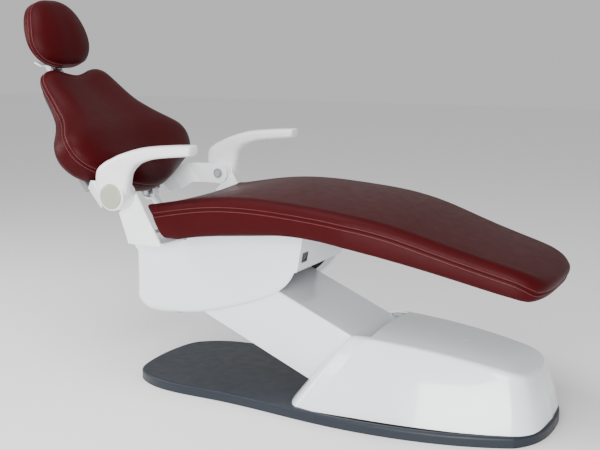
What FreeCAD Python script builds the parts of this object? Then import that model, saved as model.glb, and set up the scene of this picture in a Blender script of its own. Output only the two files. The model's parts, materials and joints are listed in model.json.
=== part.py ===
import FreeCAD, Part
import math
import os
import Sketcher
from FreeCAD import Placement, Rotation, Vector

# Dental chair, in millimetres.
# Origin: centre of the base plate's underside. +X to the feet, +Y to the patient's left, +Z up.
# Every driving size stands once in the sheet. Pieces are bound to it by expressions, or read it in code.

DIMENSIONS = [
    ("plate_length", 1360.0, "base plate, head to foot"),
    ("plate_width", 565.0, "base plate, widest"),
    ("plate_thickness", 12.0, "steel base plate"),
    ("rim_height", 31.0, "plastic rim round the base plate"),
    ("rim_width", 12.0, "wall of the rim"),
    ("rim_round", 8.0, "rounded lip of the rim"),
    ("skin", 4.0, "wall of the plastic covers"),
    ("seam_place", 48.0, "seam between the plate cover and the bumper strip"),
    ("anchor_spacing_long", 1000.0, "floor bolts, along X"),
    ("anchor_spacing_wide", 260.0, "floor bolts, along Y"),
    ("anchor_radius", 7.0, "floor bolt hole"),
    ("cover_height", 212.0, "base cover above the rim at its head end"),
    ("pivot_place", 120.0, "main pivot, along X"),
    ("pivot_height", 123.0, "main pivot above the floor"),
    ("lift_length", 560.0, "lift arm between its two pivots"),
    ("lift_tilt", 23.7, "lift arm above the horizontal at rest"),
    ("lift_width", 300.0, "arm cover, outside"),
    ("lift_depth", 198.0, "arm cover, outside"),
    ("link_rise", 60.0, "upper link above the lift arm"),
    ("pin_radius", 14.0, "main pivot pins"),
    ("small_pin_radius", 9.0, "upper link and actuator pins"),
    ("bush_wall", 4.0, "bronze bush"),
    ("running_gap", 0.05, "radial clearance of a running fit"),
    ("piece_gap", 0.5, "clearance between neighbouring pieces"),
    ("arm_plate_span", 120.0, "lift arm over its two side plates"),
    ("arm_plate_thickness", 10.0, "lift arm side plate"),
    ("cheek_span", 156.0, "seat cheeks, outside"),
    ("clevis_span", 188.0, "clevis plates, outside"),
    ("crank_reach", 75.0, "actuator pivot below the main pivot"),
    ("crank_clearance", 4.0, "opened pivot of the lift actuator"),
    ("ram_place", 560.0, "lift actuator's fixed pivot, along X"),
    ("ram_height", 80.0, "lift actuator's fixed pivot above the floor"),
    ("seat_width", 568.0, "seat cushion, widest"),
    ("foot_width", 420.0, "leg rest cushion near its end"),
    ("cushion_drop", 103.0, "seat cushion thickness"),
    ("seat_level", 0.0, "seat height above its usual place on the frame"),
    ("board_thickness", 12.0, "boards under the cushions"),
    ("rail_height", 25.0, "seat rails"),
    ("rail_top", 487.0, "top of the seat rails above the floor"),
    ("housing_width", 320.0, "housing under the seat"),
    ("hub_place", -613.0, "backrest hinge, along X"),
    ("hub_height", 634.0, "backrest hinge above the floor"),
    ("hub_span", 580.0, "outer faces of the two hinge brackets"),
    ("bracket_thickness", 8.0, "hinge bracket"),
    ("washer_gap", 2.0, "gap on each side of a hinge bracket"),
    ("hinge_pin_radius", 12.0, "backrest hinge pin"),
    ("armrest_width", 58.0, "armrest, across"),
    ("armrest_hub_radius", 45.0, "armrest hub"),
    ("hub_cap_radius", 39.0, "armrest hub cap"),
    ("back_place", -740.0, "bottom of the backrest's rear face, along X"),
    ("back_height", 594.0, "bottom of the backrest's rear face above the floor"),
    ("back_lean", 39.0, "backrest behind the vertical at rest"),
    ("back_length", 490.0, "backrest cushion"),
    ("back_depth", 110.0, "backrest cushion at the small of the back"),
    ("back_top_depth", 46.0, "backrest cushion at its top"),
    ("back_hip_width", 640.0, "backrest cushion at the hips"),
    ("strut_side", 100.0, "back actuator, along Y"),
    ("strut_rise", 66.0, "back actuator's upper pivot above the hinge, along the backrest"),
    ("strut_length", 432.0, "back actuator between its pivots"),
    ("strut_clearance", 11.0, "opened pivot of the back actuator"),
    ("bar_width", 50.0, "headrest bar"),
    ("bar_thickness", 10.0, "headrest bar"),
    ("bar_top", 541.0, "headrest bar's end above the backrest's bottom"),
    ("head_place", -1085.0, "middle of the headrest, along X"),
    ("head_height", 1128.0, "middle of the headrest above the floor"),
    ("head_lean", 22.0, "headrest behind the vertical"),
    ("head_width", 280.0, "headrest cushion"),
    ("head_length", 236.0, "headrest cushion"),
    ("head_depth", 95.0, "headrest cushion"),
]

doc = FreeCAD.newDocument("dental_chair")
dims = doc.addObject("Spreadsheet::Sheet", "dims")
for row, (alias, number, note) in enumerate(DIMENSIONS, start=1):
    dims.set("A%d" % row, note)
    dims.set("B%d" % row, str(number))
    dims.setAlias("B%d" % row, alias)
doc.recompute()


def size(alias):
    """The sheet's value, for shapes that are worked out in code."""
    return float(dims.get(alias))


# ---------------------------------------------------------------- tilted frames
# A frame is a point in the XZ plane and a turn about Y: expressions for bound objects, numbers for code.

def turned(x, z, turn):
    """The point (x, z) after a turn about Y, in degrees, that lifts the -X side."""
    angle = math.radians(turn)
    return x * math.cos(angle) + z * math.sin(angle), z * math.cos(angle) - x * math.sin(angle)


ROW = ("0", "0", "0")
LIFT = ("dims.pivot_place", "dims.pivot_height", "dims.lift_tilt")
BACK = ("dims.back_place", "dims.back_height", "-dims.back_lean")
HEAD = ("dims.head_place", "dims.head_height", "-dims.head_lean")

SEAT_PIVOT_X = "(dims.pivot_place - dims.lift_length * cos(dims.lift_tilt * 1deg))"
SEAT_PIVOT_Z = "(dims.pivot_height + dims.lift_length * sin(dims.lift_tilt * 1deg))"

seat_pivot_shift = turned(-size("lift_length"), 0.0, size("lift_tilt"))
seat_pivot_x = size("pivot_place") + seat_pivot_shift[0]
hub_x = size("hub_place")
hub_z = size("hub_height")
hub_y = size("hub_span") / 2.0


def frame_placement(frame):
    """The Placement of a tilted frame, from the sheet's present numbers."""
    place = {"LIFT": ("pivot_place", "pivot_height", "lift_tilt", 1.0),
             "BACK": ("back_place", "back_height", "back_lean", -1.0),
             "HEAD": ("head_place", "head_height", "head_lean", -1.0)}[frame]
    base = Vector(size(place[0]), 0.0, size(place[1]))
    return Placement(base, Rotation(Vector(0, 1, 0), size(place[2]) * place[3]))


def to_frame(frame, x, z):
    """A row point (x, z) in a tilted frame's own coordinates."""
    local = frame_placement(frame).inverse().multVec(Vector(x, 0, z))
    return local.x, local.z


def place(item, x, y, z, frame=ROW, axis="Z"):
    """Bind an object's place to a frame, with its own Z axis along the frame's X, Y or Z."""
    origin_x, origin_z, turn = frame
    if axis == "Y":
        item.Placement = Placement(Vector(), Rotation(Vector(1, 0, 0), -90))
    else:
        item.Placement = Placement(Vector(), Rotation(Vector(0, 1, 0), 1.0))
        quarter = " + 90" if axis == "X" else ""
        item.setExpression(".Placement.Rotation.Angle", "(%s)%s" % (turn, quarter))
    cosine = "cos((%s) * 1deg)" % turn
    sine = "sin((%s) * 1deg)" % turn
    bound_x = "%s + (%s) * %s + (%s) * %s" % (origin_x, x, cosine, z, sine)
    bound_z = "%s + (%s) * %s - (%s) * %s" % (origin_z, z, cosine, x, sine)
    item.setExpression(".Placement.Base.x", bound_x)
    item.setExpression(".Placement.Base.y", y)
    item.setExpression(".Placement.Base.z", bound_z)


nodes = []


def keep(item, label):
    """Name a finished sub-part."""
    item.Label = label
    nodes.append(item)
    return item


def box(name, length, width, height, x, y, z, frame=ROW):
    """A block with its lowest corner at (x, y, z) of the frame; all sizes are expressions."""
    item = doc.addObject("Part::Box", name)
    item.setExpression("Length", length)
    item.setExpression("Width", width)
    item.setExpression("Height", height)
    place(item, x, y, z, frame)
    return item


def rod(name, radius, length, x, y, z, axis="Y", frame=ROW):
    """A cylinder that starts at (x, y, z) of the frame and runs along the axis."""
    item = doc.addObject("Part::Cylinder", name)
    item.setExpression("Radius", radius)
    item.setExpression("Height", length)
    place(item, x, y, z, frame, axis)
    return item


def fuse(name, items):
    item = doc.addObject("Part::MultiFuse", name)
    item.Shapes = items
    item.Refine = True
    return item


def cut(name, base, tool):
    item = doc.addObject("Part::Cut", name)
    item.Base = base
    item.Tool = tool
    return item


def coded(name, shape):
    """A sub-part whose form is a free surface, worked out from the sheet in code."""
    item = doc.addObject("Part::Feature", name)
    item.Shape = shape
    return keep(item, name)


# ---------------------------------------------------------------- sketched plates

def origin_plane(body, role):
    for feature in body.Origin.OriginFeatures:
        if feature.Role == role:
            return feature
    raise RuntimeError("no plane " + role)


def new_sketch(body, name):
    """A sketch in the body's own XZ plane."""
    sketch = body.newObject("Sketcher::SketchObject", name)
    sketch.AttachmentSupport = [(origin_plane(body, "XZ_Plane"), "")]
    sketch.MapMode = "FlatFace"
    return sketch


def bind_point(sketch, geometry, corner, x, z, guess):
    for kind, expression, first in (("DistanceX", x, guess[0]), ("DistanceY", z, guess[1])):
        number = sketch.addConstraint(Sketcher.Constraint(kind, -1, 1, geometry, corner, first))
        sketch.setExpression("Constraints[%d]" % number, expression)


def polygon(sketch, points):
    """A closed outline whose corners are bound to expressions."""
    count = len(points)
    start = sketch.GeometryCount
    guesses = []
    for index in range(count):
        angle = 2.0 * math.pi * index / count
        guesses.append((100.0 * math.cos(angle), 100.0 * math.sin(angle)))
    for index in range(count):
        first = Vector(guesses[index][0], guesses[index][1], 0)
        following = guesses[(index + 1) % count]
        sketch.addGeometry(Part.LineSegment(first, Vector(following[0], following[1], 0)), False)
    for index in range(count):
        after = start + (index + 1) % count
        sketch.addConstraint(Sketcher.Constraint("Coincident", start + index, 2, after, 1))
    for index, (x, z) in enumerate(points):
        bind_point(sketch, start + index, 1, x, z, guesses[index])


def circle(sketch, x, z, radius):
    number = sketch.addGeometry(Part.Circle(Vector(1, 1, 0), Vector(0, 0, 1), 5.0), False)
    bind_point(sketch, number, 3, x, z, (1.0, 1.0))
    limit = sketch.addConstraint(Sketcher.Constraint("Radius", number, 5.0))
    sketch.setExpression("Constraints[%d]" % limit, radius)


def plate(name, thickness, middle, outline, discs, bores, frame=ROW):
    """A flat plate across Y: an outline and round bosses padded alike, then round bores."""
    body = doc.addObject("PartDesign::Body", name)
    sketch = new_sketch(body, name + "_outline")
    polygon(sketch, outline)
    pad = body.newObject("PartDesign::Pad", name + "_pad")
    pad.Profile = sketch
    pad.Midplane = True
    pad.setExpression("Length", thickness)
    for number, (x, z, radius) in enumerate(discs):
        boss_sketch = new_sketch(body, "%s_boss_sketch%d" % (name, number))
        circle(boss_sketch, x, z, radius)
        boss = body.newObject("PartDesign::Pad", "%s_boss%d" % (name, number))
        boss.Profile = boss_sketch
        boss.Midplane = True
        boss.setExpression("Length", thickness)
    doc.recompute()
    for number, (x, z, radius) in enumerate(bores):
        before = body.Shape.Volume
        bore_sketch = new_sketch(body, "%s_bore_sketch%d" % (name, number))
        circle(bore_sketch, x, z, radius)
        bore = body.newObject("PartDesign::Pocket", "%s_bore%d" % (name, number))
        bore.Profile = bore_sketch
        bore.Midplane = True
        bore.setExpression("Length", "(%s) * 2" % thickness)
        doc.recompute()
        if body.Shape.Volume >= before:
            raise RuntimeError("bore cut nothing in " + name)
    place(body, "0", middle, "0", frame)
    return keep(body, name)


# ---------------------------------------------------------------- shapes for free surfaces

def spline(points):
    curve = Part.BSplineCurve()
    curve.interpolate([Vector(*point) for point in points])
    return curve.toShape()


def prism(edges, direction):
    return Part.Face(Part.Wire(edges)).extrude(direction)


def block(x_low, x_high, y_low, y_high, z_low, z_high):
    corner = Vector(x_low, y_low, z_low)
    return Part.makeBox(x_high - x_low, y_high - y_low, z_high - z_low, corner)


def side_prism(points, half_width, closed_curve=False):
    """Extrude a side view (x, z) over |y| < half_width."""
    corners = [Vector(x, -half_width, z) for x, z in points]
    if closed_curve:
        curve = Part.BSplineCurve()
        curve.interpolate(corners, True)
        wire = Part.Wire([curve.toShape()])
    else:
        wire = Part.makePolygon(corners + [corners[0]])
    return Part.Face(wire).extrude(Vector(0, 2.0 * half_width, 0))


def rounded(shape, radius, chosen):
    """Fillet the edges that the test chooses."""
    edges = [edge for edge in shape.Edges if chosen(edge)]
    return shape.makeFillet(radius, edges)


def mirrored(points):
    """The same points at the other side of the middle plane, in reversed order."""
    return [(x, -y, z) for x, y, z in reversed(points)]


def both_sides(points):
    """Points that end on the middle plane, carried on to the other side."""
    return points + mirrored(points)[1:]


# ---------------------------------------------------------------- base

PLATE_HEAD = [(-0.925, 0.665), (-0.965, 0.55), (-0.99, 0.33), (-1.0, 0.0)]
PLATE_SIDE = [(-0.925, 0.665), (-0.86, 0.765), (-0.47, 0.875), (0.07, 1.0), (0.46, 0.985),
              (0.70, 0.875), (0.90, 0.695)]
PLATE_FOOT = [(0.90, 0.695), (0.965, 0.49), (1.0, 0.0)]


def plate_prism(inset, z_low, z_high):
    """The base plate's plan shape, drawn in by the inset."""
    length = size("plate_length") / 2.0 - inset
    width = size("plate_width") / 2.0 - inset
    head, side, foot = [[(length * x, width * y, z_low) for x, y in points]
                        for points in (PLATE_HEAD, PLATE_SIDE, PLATE_FOOT)]
    edges = [spline(both_sides(head)), spline(side), spline(both_sides(foot)), spline(mirrored(side))]
    return prism(Part.__sortEdges__(edges), Vector(0, 0, z_high - z_low))


rim = size("rim_width")
rim_top = size("rim_height")
skin = size("skin")
gap = size("piece_gap")
cover_opening = size("lift_width") / 2.0 + 10.0


def make_base():
    steel = plate_prism(rim + gap, 0.0, size("plate_thickness"))
    for x_sign in (-1.0, 1.0):
        for y_sign in (-1.0, 1.0):
            place_x = x_sign * size("anchor_spacing_long") / 2.0
            place_y = y_sign * size("anchor_spacing_wide") / 2.0
            hole = Part.makeCylinder(size("anchor_radius"), 50.0, Vector(place_x, place_y, -10.0))
            steel = steel.cut(hole)
    coded("base_plate", steel)

    whole = plate_prism(0.0, 0.0, rim_top)
    whole = rounded(whole, size("rim_round"), lambda edge: edge.BoundBox.ZMin > rim_top - 0.1)
    seam = size("seam_place")
    head_part = block(-2000, seam - gap / 2.0, -1000, 1000, -1, 200)
    foot_part = block(seam + gap / 2.0, 2000, -1000, 1000, -1, 200)
    hollow = plate_prism(rim, -1.0, rim_top - skin)
    notch = block(-40.0, seam + 1.0, -cover_opening, cover_opening, 0.0, rim_top + 1.0)
    coded("plate_cover", whole.common(head_part).cut(hollow).cut(notch))
    coded("bumper_strip", whole.common(foot_part).cut(plate_prism(rim, -1.0, rim_top + 1.0)))


# Base cover: a four-sided plan at the rim and a smaller one above it, joined by leaning walls.
COVER_LOW = {"bow": -93.0, "corner": (-24.0, 270.0),
             "side": [(120.0, 264.0), (302.0, 253.0), (470.0, 228.0)],
             "heel": (600.0, 192.0), "end": [(657.0, 110.0), (672.0, 0.0)]}
COVER_HIGH = {"bow": 112.0, "corner": (125.0, 166.0),
              "side": [(250.0, 161.0), (380.0, 152.0), (500.0, 138.0)],
              "heel": (572.0, 120.0), "end": [(603.0, 72.0), (610.0, 0.0)]}
COVER_HIGH_Z = 260.0
COVER_CROWN = [(60.0, 31.0 + 214.5), (371.0, 31.0 + 196.0), (700.0, 31.0 + 128.0)]


def cover_wire(plan, z, inset):
    along = size("plate_length") / 1360.0
    across = size("plate_width") / 565.0

    def inner(point):
        x, y = point
        return x * along - (inset if x > 560.0 else 0.0), y * across - (inset if y > 0.0 else 0.0)
    bow = plan["bow"] * along + inset * 1.4
    corner = inner(plan["corner"])
    corner = (corner[0] + inset, corner[1])
    side = [corner] + [inner(point) for point in plan["side"]] + [inner(plan["heel"])]
    heel = inner(plan["heel"])
    end_low, end_mid = [inner(point) for point in plan["end"]]
    far_side = spline([(x, y, z) for x, y in side])
    end = spline([(x, y, z) for x, y in (heel, end_low, end_mid,
                                         (end_low[0], -end_low[1]), (heel[0], -heel[1]))])
    near_side = spline([(x, -y, z) for x, y in reversed(side)])
    front = spline([(corner[0], -corner[1], z), (bow, 0.0, z), (corner[0], corner[1], z)])
    return Part.Wire([far_side, end, near_side, front])


def cover_solid(inset, z_low, drop):
    tall = size("cover_height") / 212.0
    low = cover_wire(COVER_LOW, z_low, inset)
    high = cover_wire(COVER_HIGH, rim_top + (COVER_HIGH_Z - rim_top) * tall, inset)
    solid = Part.makeLoft([low, high], True, True)
    crown = [(x * size("plate_length") / 1360.0, rim_top + (z - rim_top) * tall - drop) for x, z in COVER_CROWN]
    arc = Part.Arc(*[Vector(x, -400.0, z) for x, z in crown]).toShape()
    above = [arc,
             Part.makeLine(Vector(crown[2][0], -400.0, crown[2][1]), Vector(crown[2][0], -400.0, 900.0)),
             Part.makeLine(Vector(crown[2][0], -400.0, 900.0), Vector(crown[0][0], -400.0, 900.0)),
             Part.makeLine(Vector(crown[0][0], -400.0, 900.0), Vector(crown[0][0], -400.0, crown[0][1]))]
    return solid.cut(prism(above, Vector(0, 800, 0)))


NOTCH_SILL = 55.0
NOTCH_END = 168.0


def make_base_cover():
    outside = cover_solid(0.0, rim_top + gap / 2.0, 0.0)
    inside = cover_solid(skin, rim_top - 5.0, skin)
    half = size("lift_width") / 2.0 + 3.0
    tilt_reach = NOTCH_END * size("pivot_place") / 120.0
    notch = block(-300.0, tilt_reach, -half, half, NOTCH_SILL, 600.0)
    coded("base_cover", outside.cut(inside).cut(notch))


make_base()
make_base_cover()

CLEVIS_X = "dims.pivot_place"
for side_name, sign in (("right", "-"), ("left", "")):
    plate("clevis_plate_" + side_name, "dims.arm_plate_thickness",
          "%s(dims.clevis_span - dims.arm_plate_thickness) / 2" % sign,
          [(CLEVIS_X + " - 50", "dims.plate_thickness"), (CLEVIS_X + " + 60", "dims.plate_thickness"),
           (CLEVIS_X + " + 25", "dims.pivot_height + dims.link_rise"),
           (CLEVIS_X + " - 22", "dims.pivot_height + dims.link_rise")],
          [(CLEVIS_X, "dims.pivot_height + dims.link_rise", "20")],
          [(CLEVIS_X, "dims.pivot_height", "dims.pin_radius"),
           (CLEVIS_X, "dims.pivot_height + dims.link_rise", "dims.small_pin_radius")])

keep(rod("main_pivot_pin", "dims.pin_radius", "dims.clevis_span", "dims.pivot_place",
         "-dims.clevis_span / 2", "dims.pivot_height"), "main_pivot_pin")
keep(rod("link_pivot_pin", "dims.small_pin_radius", "dims.clevis_span", "dims.pivot_place",
         "-dims.clevis_span / 2", "dims.pivot_height + dims.link_rise"), "link_pivot_pin")

ram_plates = []
for side_name, sign in (("right", "-"), ("left", "")):
    ram_plate = plate("ram_plate_" + side_name, "8", "%s34" % sign,
          [("dims.ram_place - 30", "dims.plate_thickness"), ("dims.ram_place + 40", "dims.plate_thickness"),
           ("dims.ram_place + 18", "dims.ram_height"), ("dims.ram_place - 18", "dims.ram_height")],
          [("dims.ram_place", "dims.ram_height", "18")],
          [("dims.ram_place", "dims.ram_height", "dims.small_pin_radius")])
    nodes.remove(ram_plate)
    ram_plates.append(ram_plate)
ram_bracket = doc.addObject("Part::Compound", "ram_bracket")
ram_bracket.Links = ram_plates
keep(ram_bracket, "ram_bracket")
keep(rod("ram_lower_pin", "dims.small_pin_radius", "76", "dims.ram_place", "-38", "dims.ram_height"),
     "ram_lower_pin")

# ---------------------------------------------------------------- lift arm

ARM_END = "-dims.lift_length"
CRANK_X = "(dims.crank_reach * sin(dims.lift_tilt * 1deg))"
CRANK_Z = "(-dims.crank_reach * cos(dims.lift_tilt * 1deg))"
for side_name, sign in (("right", "-"), ("left", "")):
    plate("lift_arm_plate_" + side_name, "dims.arm_plate_thickness",
          "%s(dims.arm_plate_span - dims.arm_plate_thickness) / 2" % sign,
          [("0", "26"), (ARM_END, "26"), (ARM_END, "-26"), ("-30", "-26"),
           (CRANK_X + " - 18", CRANK_Z), (CRANK_X + " + 18", CRANK_Z), ("26", "0")],
          [("0", "0", "35"), (ARM_END, "0", "35"), (CRANK_X, CRANK_Z, "19")],
          [("0", "0", "dims.pin_radius + dims.running_gap + dims.bush_wall"),
           (ARM_END, "0", "dims.pin_radius + dims.running_gap + dims.bush_wall"),
           (CRANK_X, CRANK_Z, "dims.small_pin_radius")], LIFT)

bushes = []
for number, (x, sign) in enumerate((("0", "-"), ("0", ""), (ARM_END, "-"), (ARM_END, ""))):
    start = "-dims.arm_plate_span / 2" if sign == "-" else "dims.arm_plate_span / 2 - dims.arm_plate_thickness"
    outer = rod("bush_outer%d" % number, "dims.pin_radius + dims.running_gap + dims.bush_wall",
                "dims.arm_plate_thickness", x, start, "0", "Y", LIFT)
    inner = rod("bush_inner%d" % number, "dims.pin_radius + dims.running_gap", "dims.arm_plate_thickness * 3",
                x, start + " - dims.arm_plate_thickness", "0", "Y", LIFT)
    bushes.append(cut("bush%d" % number, outer, inner))
bush_group = doc.addObject("Part::Compound", "lift_arm_bushes")
bush_group.Links = bushes
keep(bush_group, "lift_arm_bushes")

cross_bars = []
for number, start in enumerate((-0.76, -0.33)):
    cross_bars.append(box("cross_bar%d" % number, "50", "dims.arm_plate_span - 2 * dims.arm_plate_thickness",
                          "40", "dims.lift_length * %s" % start,
                          "-dims.arm_plate_span / 2 + dims.arm_plate_thickness", "-26", LIFT))
bar_group = doc.addObject("Part::Compound", "lift_arm_cross_bars")
bar_group.Links = cross_bars
keep(bar_group, "lift_arm_cross_bars")

keep(rod("crank_pin", "dims.small_pin_radius", "dims.arm_plate_span", CRANK_X, "-dims.arm_plate_span / 2",
         CRANK_Z, "Y", LIFT), "crank_pin")


def arm_cover_section(inset):
    """Side view of the arm cover in its own frame, open round the lower pivot."""
    reach = size("lift_length")
    half = size("lift_depth") / 2.0 - inset
    return [(38.0, half), (38.0 - 0.6 * inset, 20.0), (-120.0, -half), (-reach + inset, -half),
            (-reach - 50.0 + 1.4 * inset, -50.0 + inset), (-reach + 95.0 + 1.5 * inset, half)]


def make_arm_cover():
    half = size("lift_width") / 2.0
    outside = side_prism(arm_cover_section(0.0), half)
    outside = rounded(outside, 6.0, lambda edge: abs(edge.BoundBox.ZMin - edge.BoundBox.ZMax) < 0.01
                      and abs(edge.BoundBox.ZMax - size("lift_depth") / 2.0) < 0.01
                      and edge.BoundBox.XLength > 100.0)
    inside = side_prism(arm_cover_section(skin), half - skin)
    reach = size("lift_length")
    lower_mouth = side_prism([(200.0, 80.0), (20.0, 30.0), (-118.0, -80.0), (-118.0, -200.0), (200.0, -200.0)],
                             half - skin)
    pivot_mouth = side_prism([(60.0, 95.0), (20.0, 95.0), (20.0, -200.0), (60.0, -200.0)], half - skin)
    head_mouth = side_prism([(-reach - 200.0, 200.0), (-reach + 127.0, 200.0), (-reach + 81.0, 60.0),
                             (-reach - 38.0, -44.0), (-reach - 200.0, -44.0)], half - skin)
    shape = outside.cut(inside).cut(lower_mouth).cut(pivot_mouth).cut(head_mouth)
    shape.Placement = frame_placement("LIFT")
    coded("arm_cover", shape)


make_arm_cover()

# Upper link: parallel to the lift arm, one bar in the middle.
LINK = ("dims.pivot_place", "dims.pivot_height + dims.link_rise", "dims.lift_tilt")
plate("upper_link", "24", "0",
      [("0", "13"), (ARM_END, "13"), (ARM_END, "-13"), ("0", "-13")],
      [("0", "0", "18"), (ARM_END, "0", "18")],
      [("0", "0", "dims.small_pin_radius + dims.running_gap"),
       (ARM_END, "0", "dims.small_pin_radius + dims.running_gap")], LINK)

# Lift actuator: a body that swings on the base and a rod that pushes the arm's crank.
ram_dx = size("pivot_place") - size("ram_place")
ram_dz = size("pivot_height") - size("crank_reach") - size("ram_height")
ram_reach = math.hypot(ram_dx, ram_dz)
ram_turn = math.degrees(math.atan2(-ram_dz, ram_dx))


def aimed(shape, x, y, z, turn):
    """Lay a shape built along +X at a point, turned about Y."""
    shape.Placement = Placement(Vector(x, y, z), Rotation(Vector(0, 1, 0), turn))
    return shape


def eye(radius, bore, width, x):
    ring = Part.makeCylinder(radius, width, Vector(x, -width / 2.0, 0), Vector(0, 1, 0))
    return ring.cut(Part.makeCylinder(bore, width * 3.0, Vector(x, -width * 1.5, 0), Vector(0, 1, 0)))


def actuator(prefix, reach, body_share, tube_radius, rod_radius, eye_radius, eye_bore, motor_side):
    """Body, motor and rod of a linear actuator along +X from its fixed pivot."""
    pin = size("small_pin_radius")
    running = size("running_gap")
    tube_start = 14.0
    tube_end = reach * body_share
    bore_start = 60.0
    tube = Part.makeCylinder(tube_radius, tube_end - tube_start, Vector(tube_start, 0, 0), Vector(1, 0, 0))
    tail = Part.makeCylinder(15.5, 36.0, Vector(0, -18.0, 0), Vector(0, 1, 0))
    body = tube.fuse(tail)
    body = body.cut(Part.makeCylinder(pin + running, 100.0, Vector(0, -50, 0), Vector(0, 1, 0)))
    body = body.cut(Part.makeCylinder(rod_radius + running, reach, Vector(bore_start, 0, 0), Vector(1, 0, 0)))
    motor = Part.makeCylinder(18.0, 110.0, Vector(40.0, 0, motor_side * (tube_radius + 19.0)), Vector(1, 0, 0))
    gearbox = block(28.0, 40.0, -18.0, 18.0, min(0.0, motor_side * 56.0), max(0.0, motor_side * 56.0))
    gearbox = gearbox.cut(Part.makeCylinder(tube_radius, 200.0, Vector(0, 0, 0), Vector(1, 0, 0)))
    motor = motor.fuse(gearbox)
    shaft = Part.makeCylinder(rod_radius, reach - eye_bore - 3.0 - bore_start - 10.0 - ram_stroke(prefix),
                              Vector(bore_start + 10.0 + ram_stroke(prefix), 0, 0), Vector(1, 0, 0))
    shaft = shaft.fuse(eye(eye_radius, eye_bore, 2.0 * rod_radius, reach))
    return body, motor, shaft


def ram_stroke(prefix):
    """How far the rod draws in from rest."""
    return {"lift": 16.0, "back": 146.0}[prefix]


def make_lift_actuator():
    pin = size("small_pin_radius")
    bore = pin + size("crank_clearance")
    body, motor, shaft = actuator("lift", ram_reach, 0.74, 22.0, 12.0, bore + 7.0, bore, -1.0)
    for name, shape in (("lift_actuator_body", body), ("lift_actuator_motor", motor),
                        ("lift_actuator_rod", shaft)):
        coded(name, aimed(shape, size("ram_place"), 0.0, size("ram_height"), ram_turn))


make_lift_actuator()

# ---------------------------------------------------------------- seat

for side_name, sign in (("right", "-"), ("left", "")):
    plate("seat_cheek_" + side_name, "dims.arm_plate_thickness",
          "%s(dims.cheek_span - dims.arm_plate_thickness) / 2" % sign,
          [(SEAT_PIVOT_X + " - 34", SEAT_PIVOT_Z), (SEAT_PIVOT_X + " + 34", SEAT_PIVOT_Z),
           (SEAT_PIVOT_X + " + 90", "dims.rail_top - dims.rail_height"),
           (SEAT_PIVOT_X + " - 90", "dims.rail_top - dims.rail_height")],
          [(SEAT_PIVOT_X, SEAT_PIVOT_Z, "34")],
          [(SEAT_PIVOT_X, SEAT_PIVOT_Z, "dims.pin_radius"),
           (SEAT_PIVOT_X, SEAT_PIVOT_Z + " + dims.link_rise", "dims.small_pin_radius")])
keep(rod("seat_pivot_pin", "dims.pin_radius", "dims.cheek_span", SEAT_PIVOT_X, "-dims.cheek_span / 2",
         SEAT_PIVOT_Z), "seat_pivot_pin")
keep(rod("link_top_pin", "dims.small_pin_radius", "dims.cheek_span", SEAT_PIVOT_X, "-dims.cheek_span / 2",
         SEAT_PIVOT_Z + " + dims.link_rise"), "link_top_pin")

# Seat frame: a welded ladder of two rails, three cross members and four posts under the board.
RAIL_OUT = 130.0
BOARD_INSET = 70.0
SEAT_TOP = [(-533.0, 606.0), (-460.0, 619.0), (-334.0, 638.0), (-179.0, 646.0), (-32.0, 639.0),
            (125.0, 623.0), (254.0, 597.0), (373.0, 560.0), (505.0, 520.0), (637.0, 480.0), (672.0, 466.0)]
SEAT_LOW = [(-472.0, 505.0), (-336.0, 524.0), (-197.0, 538.0), (-64.0, 547.0), (63.0, 540.0),
            (150.0, 526.0), (297.0, 495.0), (433.0, 462.0), (565.0, 430.0), (668.0, 408.0)]
seat_rise = size("seat_level")


def seat_low(x):
    """Height of the seat cushion's underside."""
    points = SEAT_LOW
    for (x_a, z_a), (x_b, z_b) in zip(points, points[1:]):
        if x <= x_b or (x_b, z_b) == points[-1]:
            return z_a + (z_b - z_a) * (x - x_a) / (x_b - x_a) + seat_rise
    return points[-1][1] + seat_rise


def make_seat_frame():
    top = size("rail_top")
    low = top - size("rail_height")
    pieces = []
    for sign in (-1.0, 1.0):
        y_low, y_high = sorted((sign * (RAIL_OUT - 30.0), sign * RAIL_OUT))
        pieces.append(block(-600.0, -90.0, y_low, y_high, low, top))
    for x in (-600.0, seat_pivot_x - 90.0, -140.0):
        pieces.append(block(x, x + 50.0, -RAIL_OUT + 30.0, RAIL_OUT - 30.0, low, top))
    pieces.append(block(seat_pivot_x + 40.0, seat_pivot_x + 90.0, -RAIL_OUT + 30.0, RAIL_OUT - 30.0, low, top))
    for x in (-430.0, -150.0):
        for sign in (-1.0, 1.0):
            height = min(seat_low(x - 15.0), seat_low(x + 15.0)) - size("board_thickness") - top
            post = Part.makeCylinder(15.0, height - 0.3, Vector(x, sign * (RAIL_OUT - 15.0), top))
            pieces.append(post)
    frame = pieces[0].multiFuse(pieces[1:]).removeSplitter()
    coded("seat_frame", frame)


def seat_plan(inset):
    """Plan view of the seat cushion, drawn in by the inset."""
    wide = size("seat_width") / 2.0 - inset
    foot = size("foot_width") / 2.0 - inset
    half = [(-560.0, wide), (-100.0, wide), (130.0, wide)]
    straight = Part.makeLine(Vector(half[0][0], wide, 0), Vector(half[2][0], wide, 0))
    taper = spline([(130.0, wide, 0), (260.0, wide - (wide - foot) * 0.28, 0),
                    (373.0, wide - (wide - foot) * 0.55, 0), (500.0, foot + (wide - foot) * 0.2, 0),
                    (600.0, foot, 0), (660.0 - inset, foot - 28.0, 0), (688.0 - inset, foot - 100.0, 0),
                    (692.0 - inset, 0.0, 0)])
    mirror = FreeCAD.Matrix()
    mirror.scale(1.0, -1.0, 1.0)
    edges = [straight, taper]
    edges += [edge.transformGeometry(mirror) for edge in edges]
    edges.append(Part.makeLine(Vector(-560.0, -wide, 0), Vector(-560.0, wide, 0)))
    wire = Part.Wire(Part.__sortEdges__(edges))
    return Part.Face(wire).extrude(Vector(0, 0, 900.0))


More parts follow.
